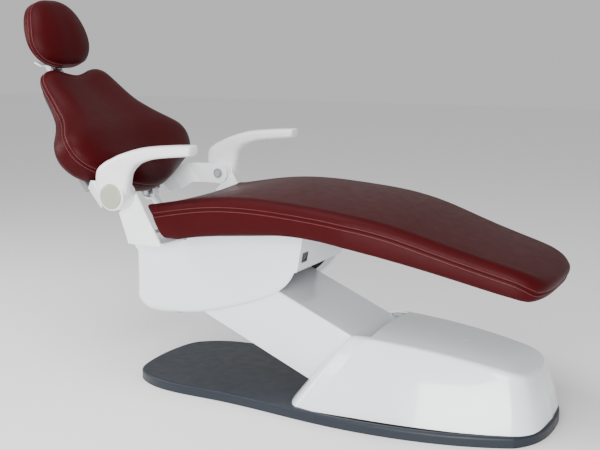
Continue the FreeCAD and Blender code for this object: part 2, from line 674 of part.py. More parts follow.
def seat_side(points_top, points_low, half_width):
    top = spline([(x, -half_width, z) for x, z in points_top])
    low = spline([(x, -half_width, z) for x, z in points_low])
    foot_top = Vector(points_top[-1][0], -half_width, points_top[-1][1])
    foot_low = Vector(points_low[-1][0], -half_width, points_low[-1][1])
    middle = Vector(694.0, -half_width, (foot_top.z + foot_low.z) / 2.0)
    nose = Part.Arc(foot_top, middle, foot_low).toShape()
    head = Part.makeLine(Vector(points_low[0][0], -half_width, points_low[0][1]),
                         Vector(points_top[0][0], -half_width, points_top[0][1]))
    return prism(Part.__sortEdges__([top, nose, low, head]), Vector(0, 2.0 * half_width, 0))


def make_seat():
    thick = size("board_thickness")
    rise = seat_rise
    drop = size("cushion_drop") / 103.0
    top = [(x, z + rise + (drop - 1.0) * 80.0) for x, z in SEAT_TOP]
    low = [(x, z + rise) for x, z in SEAT_LOW]
    coded("seat_cushion", seat_side(top, low, 400.0).common(seat_plan(0.0)))
    board_low = [(x, z - thick) for x, z in low]
    shell = [Part.makeLine(Vector(low[0][0], -400, low[0][1]), Vector(low[0][0], -400, board_low[0][1])),
             spline([(x, -400.0, z) for x, z in low]),
             spline([(x, -400.0, z) for x, z in board_low]),
             Part.makeLine(Vector(low[-1][0], -400, low[-1][1]), Vector(low[-1][0], -400, board_low[-1][1]))]
    slab = prism(Part.__sortEdges__(shell), Vector(0, 800, 0))
    trim = block(-900.0, 640.0, -400.0, 400.0, 0.0, 900.0)
    coded("seat_board", slab.common(seat_plan(BOARD_INSET)).common(trim))


make_seat_frame()
make_seat()

# Housing: a boat-shaped shell under the seat, open on top and where the lift arm comes in.
HOUSING_KEEL = [(-670.0, 300.0), (-667.0, 262.0), (-640.0, 237.0), (-570.0, 227.0), (-473.0, 232.0),
                (-385.0, 248.0), (-273.0, 281.0), (-184.0, 315.0), (-125.0, 349.0), (-90.0, 387.0)]
HOUSING_FRONT = (-73.0, 420.0)
FRONT_SLOPE = 0.176
SWITCH_Y = -123.0
SWITCH_Z = 456.0
SWITCH_TURN = math.degrees(math.atan(FRONT_SLOPE))


def housing_section(inset, top_shift):
    front_x = HOUSING_FRONT[0] - inset
    keel = [(x + (inset if x < -600.0 else 0.0), z + inset) for x, z in HOUSING_KEEL]
    keel[-1] = (keel[-1][0] - inset, keel[-1][1])
    keel[-2] = (keel[-2][0] - inset * 0.6, keel[-2][1])
    board = size("board_thickness") + 2.5
    top_front_z = seat_low(-56.0) - board + top_shift
    top_front_x = front_x + (top_front_z - HOUSING_FRONT[1]) * FRONT_SLOPE
    step = [(x, seat_low(x) - board + top_shift) for x in (-110.0, -197.0, -336.0, -462.0)]
    rear_top = size("rail_top") - 9.0 + top_shift
    return keel, (front_x, HOUSING_FRONT[1]), (top_front_x, top_front_z), step, rear_top


def housing_solid(inset, half_width, top_shift):
    keel, front, top_front, step, rear_top = housing_section(inset, top_shift)
    y = -half_width
    edges = [spline([(x, y, z) for x, z in keel])]
    corners = [keel[-1], front, top_front] + step
    corners += [(step[-1][0] - 8.0, rear_top), (keel[0][0], rear_top), keel[0]]
    for (x_a, z_a), (x_b, z_b) in zip(corners, corners[1:]):
        edges.append(Part.makeLine(Vector(x_a, y, z_a), Vector(x_b, y, z_b)))
    return prism(Part.__sortEdges__(edges), Vector(0, 2.0 * half_width, 0))


def switch_frame():
    x = HOUSING_FRONT[0] + (SWITCH_Z - HOUSING_FRONT[1]) * FRONT_SLOPE
    return Placement(Vector(x, SWITCH_Y, SWITCH_Z), Rotation(Vector(0, 1, 0), SWITCH_TURN))


def in_switch_frame(shape):
    shape.Placement = switch_frame()
    return shape


def make_housing():
    half = size("housing_width") / 2.0
    outside = housing_solid(0.0, half, 0.0)
    inside = housing_solid(skin, half - skin, 60.0)
    mouth = size("lift_width") / 2.0 + 3.0
    mouth_rear = seat_pivot_x - 118.0
    opening = block(mouth_rear, 100.0, -mouth, mouth, 0.0, HOUSING_FRONT[1] - 5.0)
    strut = size("strut_side")
    slot = block(-700.0, -650.0, strut - 34.0, strut + 34.0, 388.0, 700.0)
    window = in_switch_frame(block(-30.0, 30.0, -14.0, 14.0, -12.0, 12.0))
    coded("housing_shell", outside.cut(inside).cut(opening).cut(slot).cut(window))
    liners = []
    for sign in (-1.0, 1.0):
        y_low, y_high = sorted((sign * (half - skin - 0.2), sign * (half - skin - 2.2)))
        sheet = housing_solid(skin + 22.0, half - skin - 0.2, -20.0).common(
            block(-480.0, -80.0, y_low, y_high, 0.0, 900.0))
        liners.append(sheet)
    coded("housing_liner", Part.makeCompound(liners))
    rim_outer = block(0.2, 2.5, -17.0, 17.0, -15.0, 15.0)
    neck = block(-6.0, 0.2, -13.7, 13.7, -11.7, 11.7)
    hole = block(-20.0, 20.0, -11.5, 11.5, -10.5, 10.5)
    coded("switch_bezel", in_switch_frame(rim_outer.fuse(neck).cut(hole)))
    rocker = block(-5.0, 2.2, -10.8, 10.8, -9.3, 9.3)
    coded("power_switch", in_switch_frame(rocker))


make_housing()

hinge_pins = []

# Hinge brackets: plates up to the backrest hinge, each with a flange that is bolted to the rails.
BRACKET_LOW = "dims.rail_top - 8"
for side_name, sign in (("right", "-"), ("left", "")):
    direction = -1.0 if sign == "-" else 1.0
    upright = plate("bracket_upright_" + side_name, "dims.bracket_thickness",
                    "%s(dims.hub_span - dims.bracket_thickness) / 2" % sign,
                    [("dims.hub_place + 16", BRACKET_LOW), ("dims.hub_place + 138", BRACKET_LOW),
                     ("dims.hub_place + 131", "dims.rail_top + 8"), ("dims.hub_place + 50", "dims.hub_height + 6"),
                     ("dims.hub_place - 17", "dims.hub_height - 60")],
                    [("dims.hub_place", "dims.hub_height", "40")],
                    [("dims.hub_place", "dims.hub_height", "dims.hinge_pin_radius")])
    nodes.remove(upright)
    start = "-dims.hub_span / 2 + dims.bracket_thickness" if sign == "-" else str(RAIL_OUT)
    flange = box("flange_" + side_name, "122", "dims.hub_span / 2 - dims.bracket_thickness - %s" % RAIL_OUT,
                 "8", "dims.hub_place + 16", start, BRACKET_LOW)
    keep(fuse("hinge_bracket_" + side_name, [upright, flange]), "hinge_bracket_" + side_name)

    # Hinge pin: a headed shaft through the back arm, the bracket and the armrest hub.
    inner_face = hub_y - size("bracket_thickness") - size("washer_gap") - 10.0
    pin_end = hub_y + size("washer_gap") + size("armrest_width") - 5.0
    head = Part.makeCylinder(20.0, 8.0, Vector(hub_x, direction * (inner_face - 1.0), hub_z),
                             Vector(0, -direction, 0))
    shaft = Part.makeCylinder(size("hinge_pin_radius"), pin_end - inner_face + 1.0,
                              Vector(hub_x, direction * (inner_face - 1.0), hub_z), Vector(0, direction, 0))
    hinge_pins.append(head.fuse(shaft).removeSplitter())
coded("hinge_pins", Part.makeCompound(hinge_pins))

# ---------------------------------------------------------------- back actuator

hub_in_back = to_frame("BACK", hub_x, hub_z)
lug_x = -47.0
lug_z = hub_in_back[1] + size("strut_rise")
lug_row = frame_placement("BACK").multVec(Vector(lug_x, 0, lug_z))
STRUT_TURN = 49.0
strut_shift = turned(size("strut_length"), 0.0, STRUT_TURN)
strut_foot = (lug_row.x + strut_shift[0], lug_row.z + strut_shift[1])


def make_back_actuator():
    pin = size("small_pin_radius")
    bore = pin + size("strut_clearance")
    body, motor, shaft = actuator("back", size("strut_length"), 0.59, 21.0, 13.0, bore + 6.0, bore, -1.0)
    turn = STRUT_TURN + 180.0
    for name, shape in (("back_actuator_body", body), ("back_actuator_motor", motor),
                        ("back_actuator_rod", shaft)):
        coded(name, aimed(shape, strut_foot[0], size("strut_side"), strut_foot[1], turn))
    # Hanger: two ears under the seat rails that carry the actuator's fixed pivot.
    x, z = strut_foot
    side = size("strut_side")
    ears = []
    for y_low in (side - 30.0, side + 22.0):
        ear = block(x - 16.0, x + 16.0, y_low, y_low + 8.0, z, size("rail_top") - size("rail_height"))
        ear = ear.fuse(Part.makeCylinder(16.0, 8.0, Vector(x, y_low, z), Vector(0, 1, 0)))
        ears.append(ear)
    top = block(x - 16.0, x + 16.0, side - 30.0, RAIL_OUT, size("rail_top") - size("rail_height") - 8.0,
                size("rail_top") - size("rail_height"))
    hanger = top.multiFuse(ears)
    hanger = hanger.cut(Part.makeCylinder(pin, 200.0, Vector(x, side - 100.0, z), Vector(0, 1, 0)))
    coded("back_actuator_hanger", hanger.removeSplitter())
    coded("back_actuator_pin", Part.makeCylinder(pin, 60.0, Vector(x, side - 30.0, z), Vector(0, 1, 0)))


make_back_actuator()

# ---------------------------------------------------------------- backrest

back_length = size("back_length")
CROSS_LOW = 62.0
BACK_OUTLINE = [(0.0, -0.02), (0.34, 0.02), (0.66, 0.11), (0.93, 0.22), (0.995, 0.32), (0.96, 0.42),
                (0.82, 0.52), (0.69, 0.63), (0.62, 0.75), (0.585, 0.86), (0.54, 0.95), (0.47, 1.0),
                (0.35, 1.02), (0.17, 0.995), (0.0, 0.975)]


def back_plan(inset, x_low, x_high):
    """The backrest's outline (y, z of its own frame), drawn in by the inset, as a slab."""
    half = size("back_hip_width") / 2.0
    centre = 0.45 * back_length
    points = []
    for across, up in BACK_OUTLINE:
        reach = (1.0 - inset / (0.5 * back_length))
        points.append((across * (half - inset), centre + (up * back_length - centre) * reach))
    there = spline([(x_low, y, z) for y, z in points])
    back = spline([(x_low, -y, z) for y, z in reversed(points)])
    return prism([there, back], Vector(x_high - x_low, 0, 0))


def in_back_frame(shape):
    shape.Placement = frame_placement("BACK")
    return shape


def make_backrest():
    deep = size("back_depth")
    shallow = size("back_top_depth")
    side = [(0.3, -60.0), (deep * 0.72, -60.0), (deep * 0.9, 0.03 * back_length), (deep, 0.14 * back_length),
            (deep, 0.42 * back_length), (shallow * 1.3, 0.8 * back_length), (shallow, 1.1 * back_length),
            (0.3, 1.1 * back_length)]
    cushion = back_plan(0.0, 0.0, deep + 20.0).common(side_prism(side, 500.0))
    coded("back_cushion", in_back_frame(cushion))
    thick = size("board_thickness")
    coded("back_board", in_back_frame(back_plan(22.0, -thick, 0.0)))

    arm_inner = hub_y - size("bracket_thickness") - size("washer_gap") - 10.0
    arm_outer = arm_inner + 10.0
    tab_y = 224.0
    hub_bx, hub_bz = hub_in_back
    bar_high = to_frame("BACK", hub_x, hub_z + 35.0)
    bar_low = to_frame("BACK", hub_x, hub_z - 35.0)
    end_high = to_frame("BACK", hub_x - 135.0, hub_z + 32.0)
    end_low = to_frame("BACK", hub_x - 100.0, hub_z - 36.0)
    side_view = [bar_high, end_high, (-thick - 8.6, end_high[1] + 6.0), (-thick - 8.6, end_low[1]),
                 end_low, bar_low]
    view = side_prism(side_view, 500.0)
    disc = Part.makeCylinder(36.0, 1000.0, Vector(hub_bx, -500.0, hub_bz), Vector(0, 1, 0))
    view = view.fuse(disc)
    bore = Part.makeCylinder(size("hinge_pin_radius") + size("running_gap"), 1000.0,
                             Vector(hub_bx, -500.0, hub_bz), Vector(0, 1, 0))
    bend = max(end_low[0], end_high[0]) + 4.0
    for side_name, sign in (("right", -1.0), ("left", 1.0)):
        plan = [(hub_bx + 60.0, arm_outer), (bend, arm_outer), (-thick - 8.3, tab_y + 5.0),
                (-thick - 8.3, 150.0), (-thick - 0.3, 150.0), (-thick - 0.3, tab_y), (bend, arm_inner),
                (hub_bx + 60.0, arm_inner)]
        corners = [Vector(x, sign * y, -200.0) for x, y in plan]
        strip = Part.Face(Part.makePolygon(corners + [corners[0]])).extrude(Vector(0, 0, 500.0))
        coded("back_arm_" + side_name, in_back_frame(strip.common(view).cut(bore)))

    cross = block(-40.0, -thick - 8.6, -tab_y, tab_y, CROSS_LOW, CROSS_LOW + 46.0)
    strut = size("strut_side")
    spine = block(-48.0, -40.0, -60.0, 32.0, CROSS_LOW, 0.95 * back_length)
    coded("back_frame", in_back_frame(cross.fuse(spine)))
    lugs = []
    for y_low in (strut - 30.0, strut + 22.0):
        lug = block(lug_x - 12.0, -thick - 8.6, y_low, y_low + 8.0, lug_z - 2.0, CROSS_LOW)
        lug = lug.fuse(Part.makeCylinder(14.0, 8.0, Vector(lug_x, y_low, lug_z), Vector(0, 1, 0)))
        lug = lug.cut(Part.makeCylinder(size("small_pin_radius"), 400.0, Vector(lug_x, -200.0, lug_z),
                                        Vector(0, 1, 0)))
        lugs.append(lug)
    coded("back_lugs", in_back_frame(Part.makeCompound(lugs)))
    lug_pin = Part.makeCylinder(size("small_pin_radius"), 60.0, Vector(lug_x, strut - 30.0, lug_z),
                                Vector(0, 1, 0))
    coded("back_lug_pin", in_back_frame(lug_pin))


make_backrest()

# Headrest socket: a guide channel behind the backrest for the sliding bar.
BAR_X = "(-dims.board_thickness - 14)"
socket_outer = box("socket_outer", "27.4", "dims.bar_width + 20", "dims.back_length * 0.5",
                   "-dims.board_thickness - 27.7", "-dims.bar_width / 2 - 10", "dims.back_length * 0.47", BACK)
socket_slot = box("socket_slot", "dims.bar_thickness + 2 * dims.running_gap",
                  "dims.bar_width + 2 * dims.running_gap", "dims.back_length",
                  BAR_X + " - dims.bar_thickness / 2 - dims.running_gap",
                  "-dims.bar_width / 2 - dims.running_gap", "dims.back_length * 0.2", BACK)
keep(cut("headrest_socket", socket_outer, socket_slot), "headrest_socket")

# ---------------------------------------------------------------- headrest

keep(box("headrest_bar", "dims.bar_thickness", "dims.bar_width", "dims.bar_top - dims.back_length * 0.5",
         BAR_X + " - dims.bar_thickness / 2", "-dims.bar_width / 2", "dims.back_length * 0.5", BACK),
     "headrest_bar")


def back_point(x, z):
    point = frame_placement("BACK").multVec(Vector(x, 0, z))
    return point.x, point.z


bar_x = -size("board_thickness") - 14.0
low_joint = back_point(bar_x, size("bar_top") + 14.0)
head_back = -size("head_depth") / 2.0 - size("board_thickness")
high_joint_point = frame_placement("HEAD").multVec(Vector(head_back - 20.0, 0, -10.0))
high_joint = (high_joint_point.x, high_joint_point.z)
LINK_HALF = 16.0
JOINT_RADIUS = 13.0
JOINT_PIN = 6.0


def knuckle(joint, y_low, y_high, radius):
    return Part.makeCylinder(radius, y_high - y_low, Vector(joint[0], y_low, joint[1]), Vector(0, 1, 0))


def make_headrest():
    gap_y = 0.5
    # Lower joint: two ears on the bar's end, the link between them.
    ears = []
    for y_low, y_high in ((-25.0, -LINK_HALF - gap_y), (LINK_HALF + gap_y, 25.0)):
        ear = knuckle(low_joint, y_low, y_high, JOINT_RADIUS)
        neck = block(-5.0, 5.0, y_low, y_high, -14.0, 0.0)
        neck.Placement = Placement(Vector(low_joint[0], 0, low_joint[1]),
                                   Rotation(Vector(0, 1, 0), -size("back_lean")))
        ears.append(ear.fuse(neck).cut(knuckle(low_joint, -60.0, 60.0, JOINT_PIN)))
    coded("headrest_lower_joint", Part.makeCompound(ears))
    coded("lower_joint_pin", knuckle(low_joint, -25.0, 25.0, JOINT_PIN))

    link_x = high_joint[0] - low_joint[0]
    link_z = high_joint[1] - low_joint[1]
    link_length = math.hypot(link_x, link_z)
    bar = block(0.0, link_length, -LINK_HALF, LINK_HALF, -5.5, 5.5)
    bar.Placement = Placement(Vector(low_joint[0], 0, low_joint[1]),
                              Rotation(Vector(0, 1, 0), math.degrees(math.atan2(-link_z, link_x))))
    bar = bar.multiFuse([knuckle(low_joint, -LINK_HALF, LINK_HALF, JOINT_RADIUS),
                         knuckle(high_joint, -LINK_HALF, LINK_HALF, JOINT_RADIUS)])
    running = size("running_gap")
    bar = bar.cut(knuckle(low_joint, -60.0, 60.0, JOINT_PIN + running))
    bar = bar.cut(knuckle(high_joint, -60.0, 60.0, JOINT_PIN + running))
    coded("headrest_link", bar)

    # Upper joint: ears on the headrest's board.
    ears = []
    for y_low, y_high in ((-26.0, -LINK_HALF - gap_y), (LINK_HALF + gap_y, 26.0)):
        foot = block(head_back - 20.0, head_back, y_low, y_high, -23.0, 3.0)
        foot.Placement = frame_placement("HEAD")
        ear = knuckle(high_joint, y_low, y_high, JOINT_RADIUS).fuse(foot)
        ears.append(ear.cut(knuckle(high_joint, -60.0, 60.0, JOINT_PIN)))
    coded("headrest_upper_joint", Part.makeCompound(ears))
    coded("upper_joint_pin", knuckle(high_joint, -26.0, 26.0, JOINT_PIN))

    half = size("head_width") / 2.0
    tall = size("head_length") / 2.0
    outline = [(0.0, -1.0), (0.45, -0.96), (0.83, -0.74), (1.0, -0.38), (0.99, -0.05), (0.9, 0.3),
               (0.76, 0.64), (0.55, 0.87), (0.3, 0.98), (0.0, 1.0)]

    def slab(x_low, x_high, inset):
        points = [(across * (half - inset), up * (tall - inset)) for across, up in outline]
        there = spline([(x_low, y, z) for y, z in points])
        back = spline([(x_low, -y, z) for y, z in reversed(points)])
        shape = prism([there, back], Vector(x_high - x_low, 0, 0))
        shape.Placement = frame_placement("HEAD")
        return shape
    deep = size("head_depth") / 2.0
    coded("headrest_cushion", slab(-deep + 0.3, deep, 0.0))
    coded("headrest_board", slab(-deep - size("board_thickness"), -deep, 46.0))

    # Release lever: a flat paddle on the lower joint's pin, at the right-hand side.
    lever = knuckle(low_joint, -34.0, -25.6, 11.0)
    paddle = block(-44.0, 0.0, -34.0, -25.6, -3.0, 3.0).fuse(block(-46.0, -14.0, -56.0, -25.6, -3.0, 3.0))
    paddle.Placement = Placement(Vector(low_joint[0], 0, low_joint[1]), Rotation(Vector(0, 1, 0), 22.0))
    coded("headrest_lever", lever.fuse(paddle).removeSplitter())


make_headrest()

# ---------------------------------------------------------------- armrests

ARMREST = [(-70.0, 43.0), (-66.0, 69.0), (-39.0, 98.0), (0.0, 117.0), (57.0, 140.0), (116.0, 154.0),
           (185.0, 162.0), (255.0, 168.0), (293.0, 169.0)]
ARMREST_UNDER = [(289.0, 136.0), (261.0, 131.0), (201.0, 126.0), (148.0, 119.0), (100.0, 106.0),
                 (74.0, 89.0), (58.0, 64.0), (53.0, 45.0), (45.0, 0.0)]


def make_armrests():
    radius = size("armrest_hub_radius")
    inner = hub_y + size("washer_gap")
    width = size("armrest_width")
    upper = spline([(-radius, 0, 0.0)] + [(x, 0, z) for x, z in ARMREST])
    tip = Part.Arc(Vector(293.0, 0, 169.0), Vector(301.0, 0, 151.0), Vector(289.0, 0, 136.0)).toShape()
    under = spline([(x, 0, z) for x, z in ARMREST_UNDER])
    chord = Part.makeLine(Vector(45.0, 0, 0.0), Vector(-radius, 0, 0.0))
    limb = prism(Part.__sortEdges__([upper, tip, under, chord]), Vector(0, width, 0))
    hub = Part.makeCylinder(radius, width, Vector(0, 0, 0), Vector(0, 1, 0))
    arm = limb.fuse(hub)
    arm = arm.cut(Part.makeCylinder(size("hinge_pin_radius") + size("running_gap"), 3.0 * width,
                                    Vector(0, -width, 0), Vector(0, 1, 0)))
    cap = Part.makeCylinder(size("hub_cap_radius"), 4.0, Vector(0, width, 0), Vector(0, 1, 0))
    cap = cap.makeFillet(2.5, [edge for edge in cap.Edges if edge.BoundBox.YMin > width + 3.9])
    for side_name, sign in (("left", 1.0), ("right", -1.0)):
        for name, shape in (("armrest_", arm), ("armrest_cap_", cap)):
            placed = shape.copy() if sign > 0.0 else shape.mirror(Vector(0, 0, 0), Vector(0, 1, 0))
            placed.translate(Vector(hub_x, sign * inner, hub_z))
            coded(name + side_name, placed)


make_armrests()

# ---------------------------------------------------------------- check and write

doc.recompute()
for item in doc.Objects:
    if "Invalid" in item.State or "Error" in item.State:
        raise RuntimeError("failed object " + item.Name)
os.makedirs("parts", exist_ok=True)
for node in nodes:
    shape = node.Shape
    if shape.isNull() or not shape.isValid() or shape.Volume < 1.0:
        raise RuntimeError("bad shape " + node.Label)
for node in nodes:
    node.Shape.exportStep("parts/%s.step" % node.Label)
print(len(nodes), "sub-parts")
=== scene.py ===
import json
import math

import bmesh
import bpy
from mathutils import Matrix, Vector
from mathutils.bvhtree import BVHTree


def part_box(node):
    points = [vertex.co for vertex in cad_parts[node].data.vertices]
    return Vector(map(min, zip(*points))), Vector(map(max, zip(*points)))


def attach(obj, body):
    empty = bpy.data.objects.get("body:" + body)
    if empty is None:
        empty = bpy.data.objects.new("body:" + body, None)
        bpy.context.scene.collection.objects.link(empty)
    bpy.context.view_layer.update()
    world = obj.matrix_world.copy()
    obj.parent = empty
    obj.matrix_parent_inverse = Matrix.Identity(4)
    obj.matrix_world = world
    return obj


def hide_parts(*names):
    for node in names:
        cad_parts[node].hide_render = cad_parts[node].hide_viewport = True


bl_info = {
    "name": "Dental chair upholstery and covers",
    "version": (1, 0, 0),
    "blender": (4, 5, 0),
    "location": "View3D > Sidebar > Dental Chair",
    "description": "Makes the leather, shells, paint and stage of a dental chair round its fixed frame",
    "category": "Add Mesh",
}

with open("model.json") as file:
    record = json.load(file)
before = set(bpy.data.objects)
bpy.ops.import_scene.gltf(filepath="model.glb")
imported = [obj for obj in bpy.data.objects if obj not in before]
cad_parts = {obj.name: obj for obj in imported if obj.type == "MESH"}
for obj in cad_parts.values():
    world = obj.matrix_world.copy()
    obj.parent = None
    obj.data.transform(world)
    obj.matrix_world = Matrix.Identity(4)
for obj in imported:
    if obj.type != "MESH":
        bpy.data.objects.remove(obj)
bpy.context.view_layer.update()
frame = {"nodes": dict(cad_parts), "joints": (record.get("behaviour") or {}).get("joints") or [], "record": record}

MM = 0.001

# The backrest and the headrest are drawn in their own tilted frames: X forward, Y to the left, Z up.
BACK_PLACE = Vector((-740.0, 0.0, 594.0)) * MM
BACK_LEAN = math.radians(39.0)
HEAD_PLACE = Vector((-1085.0, 0.0, 1128.0)) * MM
HEAD_LEAN = math.radians(22.0)

JOINTS = {joint["name"]: joint for joint in frame["joints"]}
HUB = Vector(JOINTS["backrest_recline"]["pos_m"])
SKIN = 4.0 * MM  # wall of the housing and of the base cover
ARM_OPENING_GAP = 3.0 * MM  # each side of the lift arm's cover, in the openings that it passes through


# ---------------------------------------------------------------- curves and small maths

def clamp(value, low=0.0, high=1.0):
    return max(low, min(high, value))


def ease(value, start, end):
    """0 before start, 1 after end, smooth between."""
    t = clamp((value - start) / (end - start))
    return t * t * (3.0 - 2.0 * t)


def curve_through(points):
    """A smooth function of one number through (place, value...) points."""
    places = [point[0] for point in points]
    single = len(points[0]) == 2
    values = [Vector((point[1], 0.0)) if single else Vector(point[1:]) for point in points]
    slopes = []
    for i in range(len(points)):
        before, after = max(i - 1, 0), min(i + 1, len(points) - 1)
        slopes.append((values[after] - values[before]) / (places[after] - places[before]))

    def read(place):
        place = clamp(place, places[0], places[-1])
        i = 0
        while i < len(places) - 2 and place > places[i + 1]:
            i += 1
        span = places[i + 1] - places[i]
        t = (place - places[i]) / span
        bend_a, bend_b = slopes[i] * span, slopes[i + 1] * span
        value = (values[i] * (2 * t ** 3 - 3 * t ** 2 + 1) + bend_a * (t ** 3 - 2 * t ** 2 + t)
                 + values[i + 1] * (3 * t ** 2 - 2 * t ** 3) + bend_b * (t ** 3 - t ** 2))
        return value[0] if single else value
    return read


def evenly(loop, count):
    """The same closed loop with evenly spaced points."""
    lengths = [0.0]
    closed = loop + [loop[0]]
    for a, b in zip(closed, closed[1:]):
        lengths.append(lengths[-1] + (b - a).length)
    result = []
    i = 0
    for step in range(count):
        place = lengths[-1] * step / count
        while lengths[i + 1] < place:
            i += 1
        share = (place - lengths[i]) / max(lengths[i + 1] - lengths[i], 1e-9)
        result.append(closed[i].lerp(closed[i + 1], share))
    return result


def relaxed(loop, passes):
    """The closed loop with its small kinks evened out."""
    for _ in range(passes):
        loop = [(loop[i - 1] + loop[i] * 2.0 + loop[(i + 1) % len(loop)]) / 4.0 for i in range(len(loop))]
    return loop


def inward(loop):
    """Unit normals in the plane that point into a counter-clockwise loop."""
    result = []
    for i in range(len(loop)):
        along = loop[(i + 1) % len(loop)] - loop[i - 1]
        result.append(Vector((-along.y, along.x)).normalized())
    return result


class Solid:
    """The surface of a CAD sub-part, read by rays in a frame of its own."""

    def __init__(self, node, place=Matrix.Identity(4)):
        inverse = place.inverted()
        mesh = frame["nodes"][node].data
        corners = [inverse @ vertex.co for vertex in mesh.vertices]
        self.tree = BVHTree.FromPolygons(corners, [list(face.vertices) for face in mesh.polygons])
        self.low = Vector([min(corner[i] for corner in corners) for i in range(3)])
        self.high = Vector([max(corner[i] for corner in corners) for i in range(3)])

    def seen(self, start, direction):
        """Where a ray first meets the surface."""
        found = self.tree.ray_cast(Vector(start), Vector(direction))[0]
        if found is None:
            raise RuntimeError("a ray missed the CAD solid")
        return found


# ---------------------------------------------------------------- meshes

def new_piece(name, corners, faces, material, smooth=True):
    mesh = bpy.data.meshes.new(name)
    mesh.from_pydata([tuple(corner) for corner in corners], [], faces)
    mesh.validate()
    piece = bpy.data.objects.new(name, mesh)
    bpy.context.scene.collection.objects.link(piece)
    mesh.materials.append(material)
    tidy_mesh(mesh, 1e-6)
    for face in mesh.polygons:
        face.use_smooth = smooth
    return piece


def tidy_mesh(mesh, distance):
    """Join corners that coincide and turn all faces outward."""
    work = bmesh.new()
    work.from_mesh(mesh)
    bmesh.ops.remove_doubles(work, verts=work.verts, dist=distance)
    bmesh.ops.dissolve_degenerate(work, edges=work.edges, dist=distance)
    bmesh.ops.recalc_face_normals(work, faces=work.faces)
    work.to_mesh(mesh)
    work.free()


def finished(piece):
    """Apply a piece's modifiers."""
    depsgraph = bpy.context.evaluated_depsgraph_get()
    mesh = bpy.data.meshes.new_from_object(piece.evaluated_get(depsgraph))
    old = piece.data
    piece.modifiers.clear()
    piece.data = mesh
    bpy.data.meshes.remove(old)
    mesh.name = piece.name
    return piece


def joined(name, pieces):
    """One piece from several, with their materials kept."""
    bpy.ops.object.select_all(action="DESELECT")
    for piece in pieces:
        piece.select_set(True)
    bpy.context.view_layer.objects.active = pieces[0]
    bpy.ops.object.join()
    pieces[0].name = name
    pieces[0].data.name = name
    return pieces[0]


def ring_faces(rings):
    """Quads between rings of equal length."""
    count = len(rings[0])
    faces = []
    for row in range(len(rings) - 1):
        low, high = row * count, (row + 1) * count
        for i in range(count):
            after = (i + 1) % count
            faces.append((low + i, low + after, high + after, high + i))
    return faces


def lathe(name, profile, centre, axis, material, steps=64):
    """Turn a profile of (radius, height) points about an axis."""
    turn = Vector((0, 0, 1)).rotation_difference(Vector(axis)).to_matrix()
    rings = []
    for radius, height in profile:
        ring = []
        for step in range(steps):
            angle = 2.0 * math.pi * step / steps
            ring.append(turn @ Vector((radius * math.cos(angle), radius * math.sin(angle), height)) + centre)
        rings.append(ring)
    corners = [corner for ring in rings for corner in ring]
    faces = ring_faces(rings)
    faces.append(tuple(reversed(range(steps))))
    faces.append(tuple(range(len(corners) - steps, len(corners))))
    piece = new_piece(name, corners, faces, material)
    sharpen(piece, 50.0)
    return piece


def sharpen(piece, degrees):
    """Smooth shading, except over edges sharper than the limit."""
    work = bmesh.new()
    work.from_mesh(piece.data)
    limit = math.radians(degrees)
    for edge in work.edges:
        edge.smooth = len(edge.link_faces) != 2 or edge.calc_face_angle(0.0) < limit
    for face in work.faces:
        face.smooth = True
    work.to_mesh(piece.data)
    work.free()


def mark_wear(piece):
    """Write how sharply the surface turns at each corner, for the finish to read."""
    work = bmesh.new()
    work.from_mesh(piece.data)
    layer = work.verts.layers.float.new("wear")
    for corner in work.verts:
        angles = [edge.calc_face_angle(0.0) for edge in corner.link_edges if len(edge.link_faces) == 2]
        corner[layer] = clamp(max(angles, default=0.0) / 0.5)
    work.to_mesh(piece.data)
    work.free()


def rounded_copy(node, width, material):
    """A CAD sub-part with its hard edges rounded, as pressed, machined or moulded pieces are."""
    mesh = frame["nodes"][node].data.copy()
    work = bmesh.new()
    work.from_mesh(mesh)
    bmesh.ops.remove_doubles(work, verts=work.verts, dist=2e-6)
    bmesh.ops.dissolve_limit(work, angle_limit=math.radians(1.0), verts=work.verts, edges=work.edges)
    bmesh.ops.recalc_face_normals(work, faces=work.faces)
    work.to_mesh(mesh)
    work.free()
    piece = bpy.data.objects.new(node + "_finished", mesh)
    bpy.context.scene.collection.objects.link(piece)
    mesh.materials.clear()
    mesh.materials.append(material)
    bevel = piece.modifiers.new("edge", "BEVEL")
    bevel.width = width
    bevel.segments = 3
    bevel.limit_method = "ANGLE"
    bevel.angle_limit = math.radians(35.0)
    finished(piece)
    sharpen(piece, 30.0)
    mark_wear(piece)
    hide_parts(node)
    return piece


def carve(piece, cutter):
    """Cut one closed mesh with another, and remove the cutter."""
    tool = piece.modifiers.new("cut", "BOOLEAN")
    tool.operation = "DIFFERENCE"
    tool.solver = "MANIFOLD"
    tool.object = cutter
    finished(piece)
    bpy.data.objects.remove(cutter)
    return piece


def block(name, low, high):
    corners = [(x, y, z) for x in (low[0], high[0]) for y in (low[1], high[1]) for z in (low[2], high[2])]
    faces = [(0, 1, 3, 2), (4, 6, 7, 5), (0, 4, 5, 1), (2, 3, 7, 6), (0, 2, 6, 4), (1, 5, 7, 3)]
    return new_piece(name, corners, faces, None, False)


# ---------------------------------------------------------------- finishes

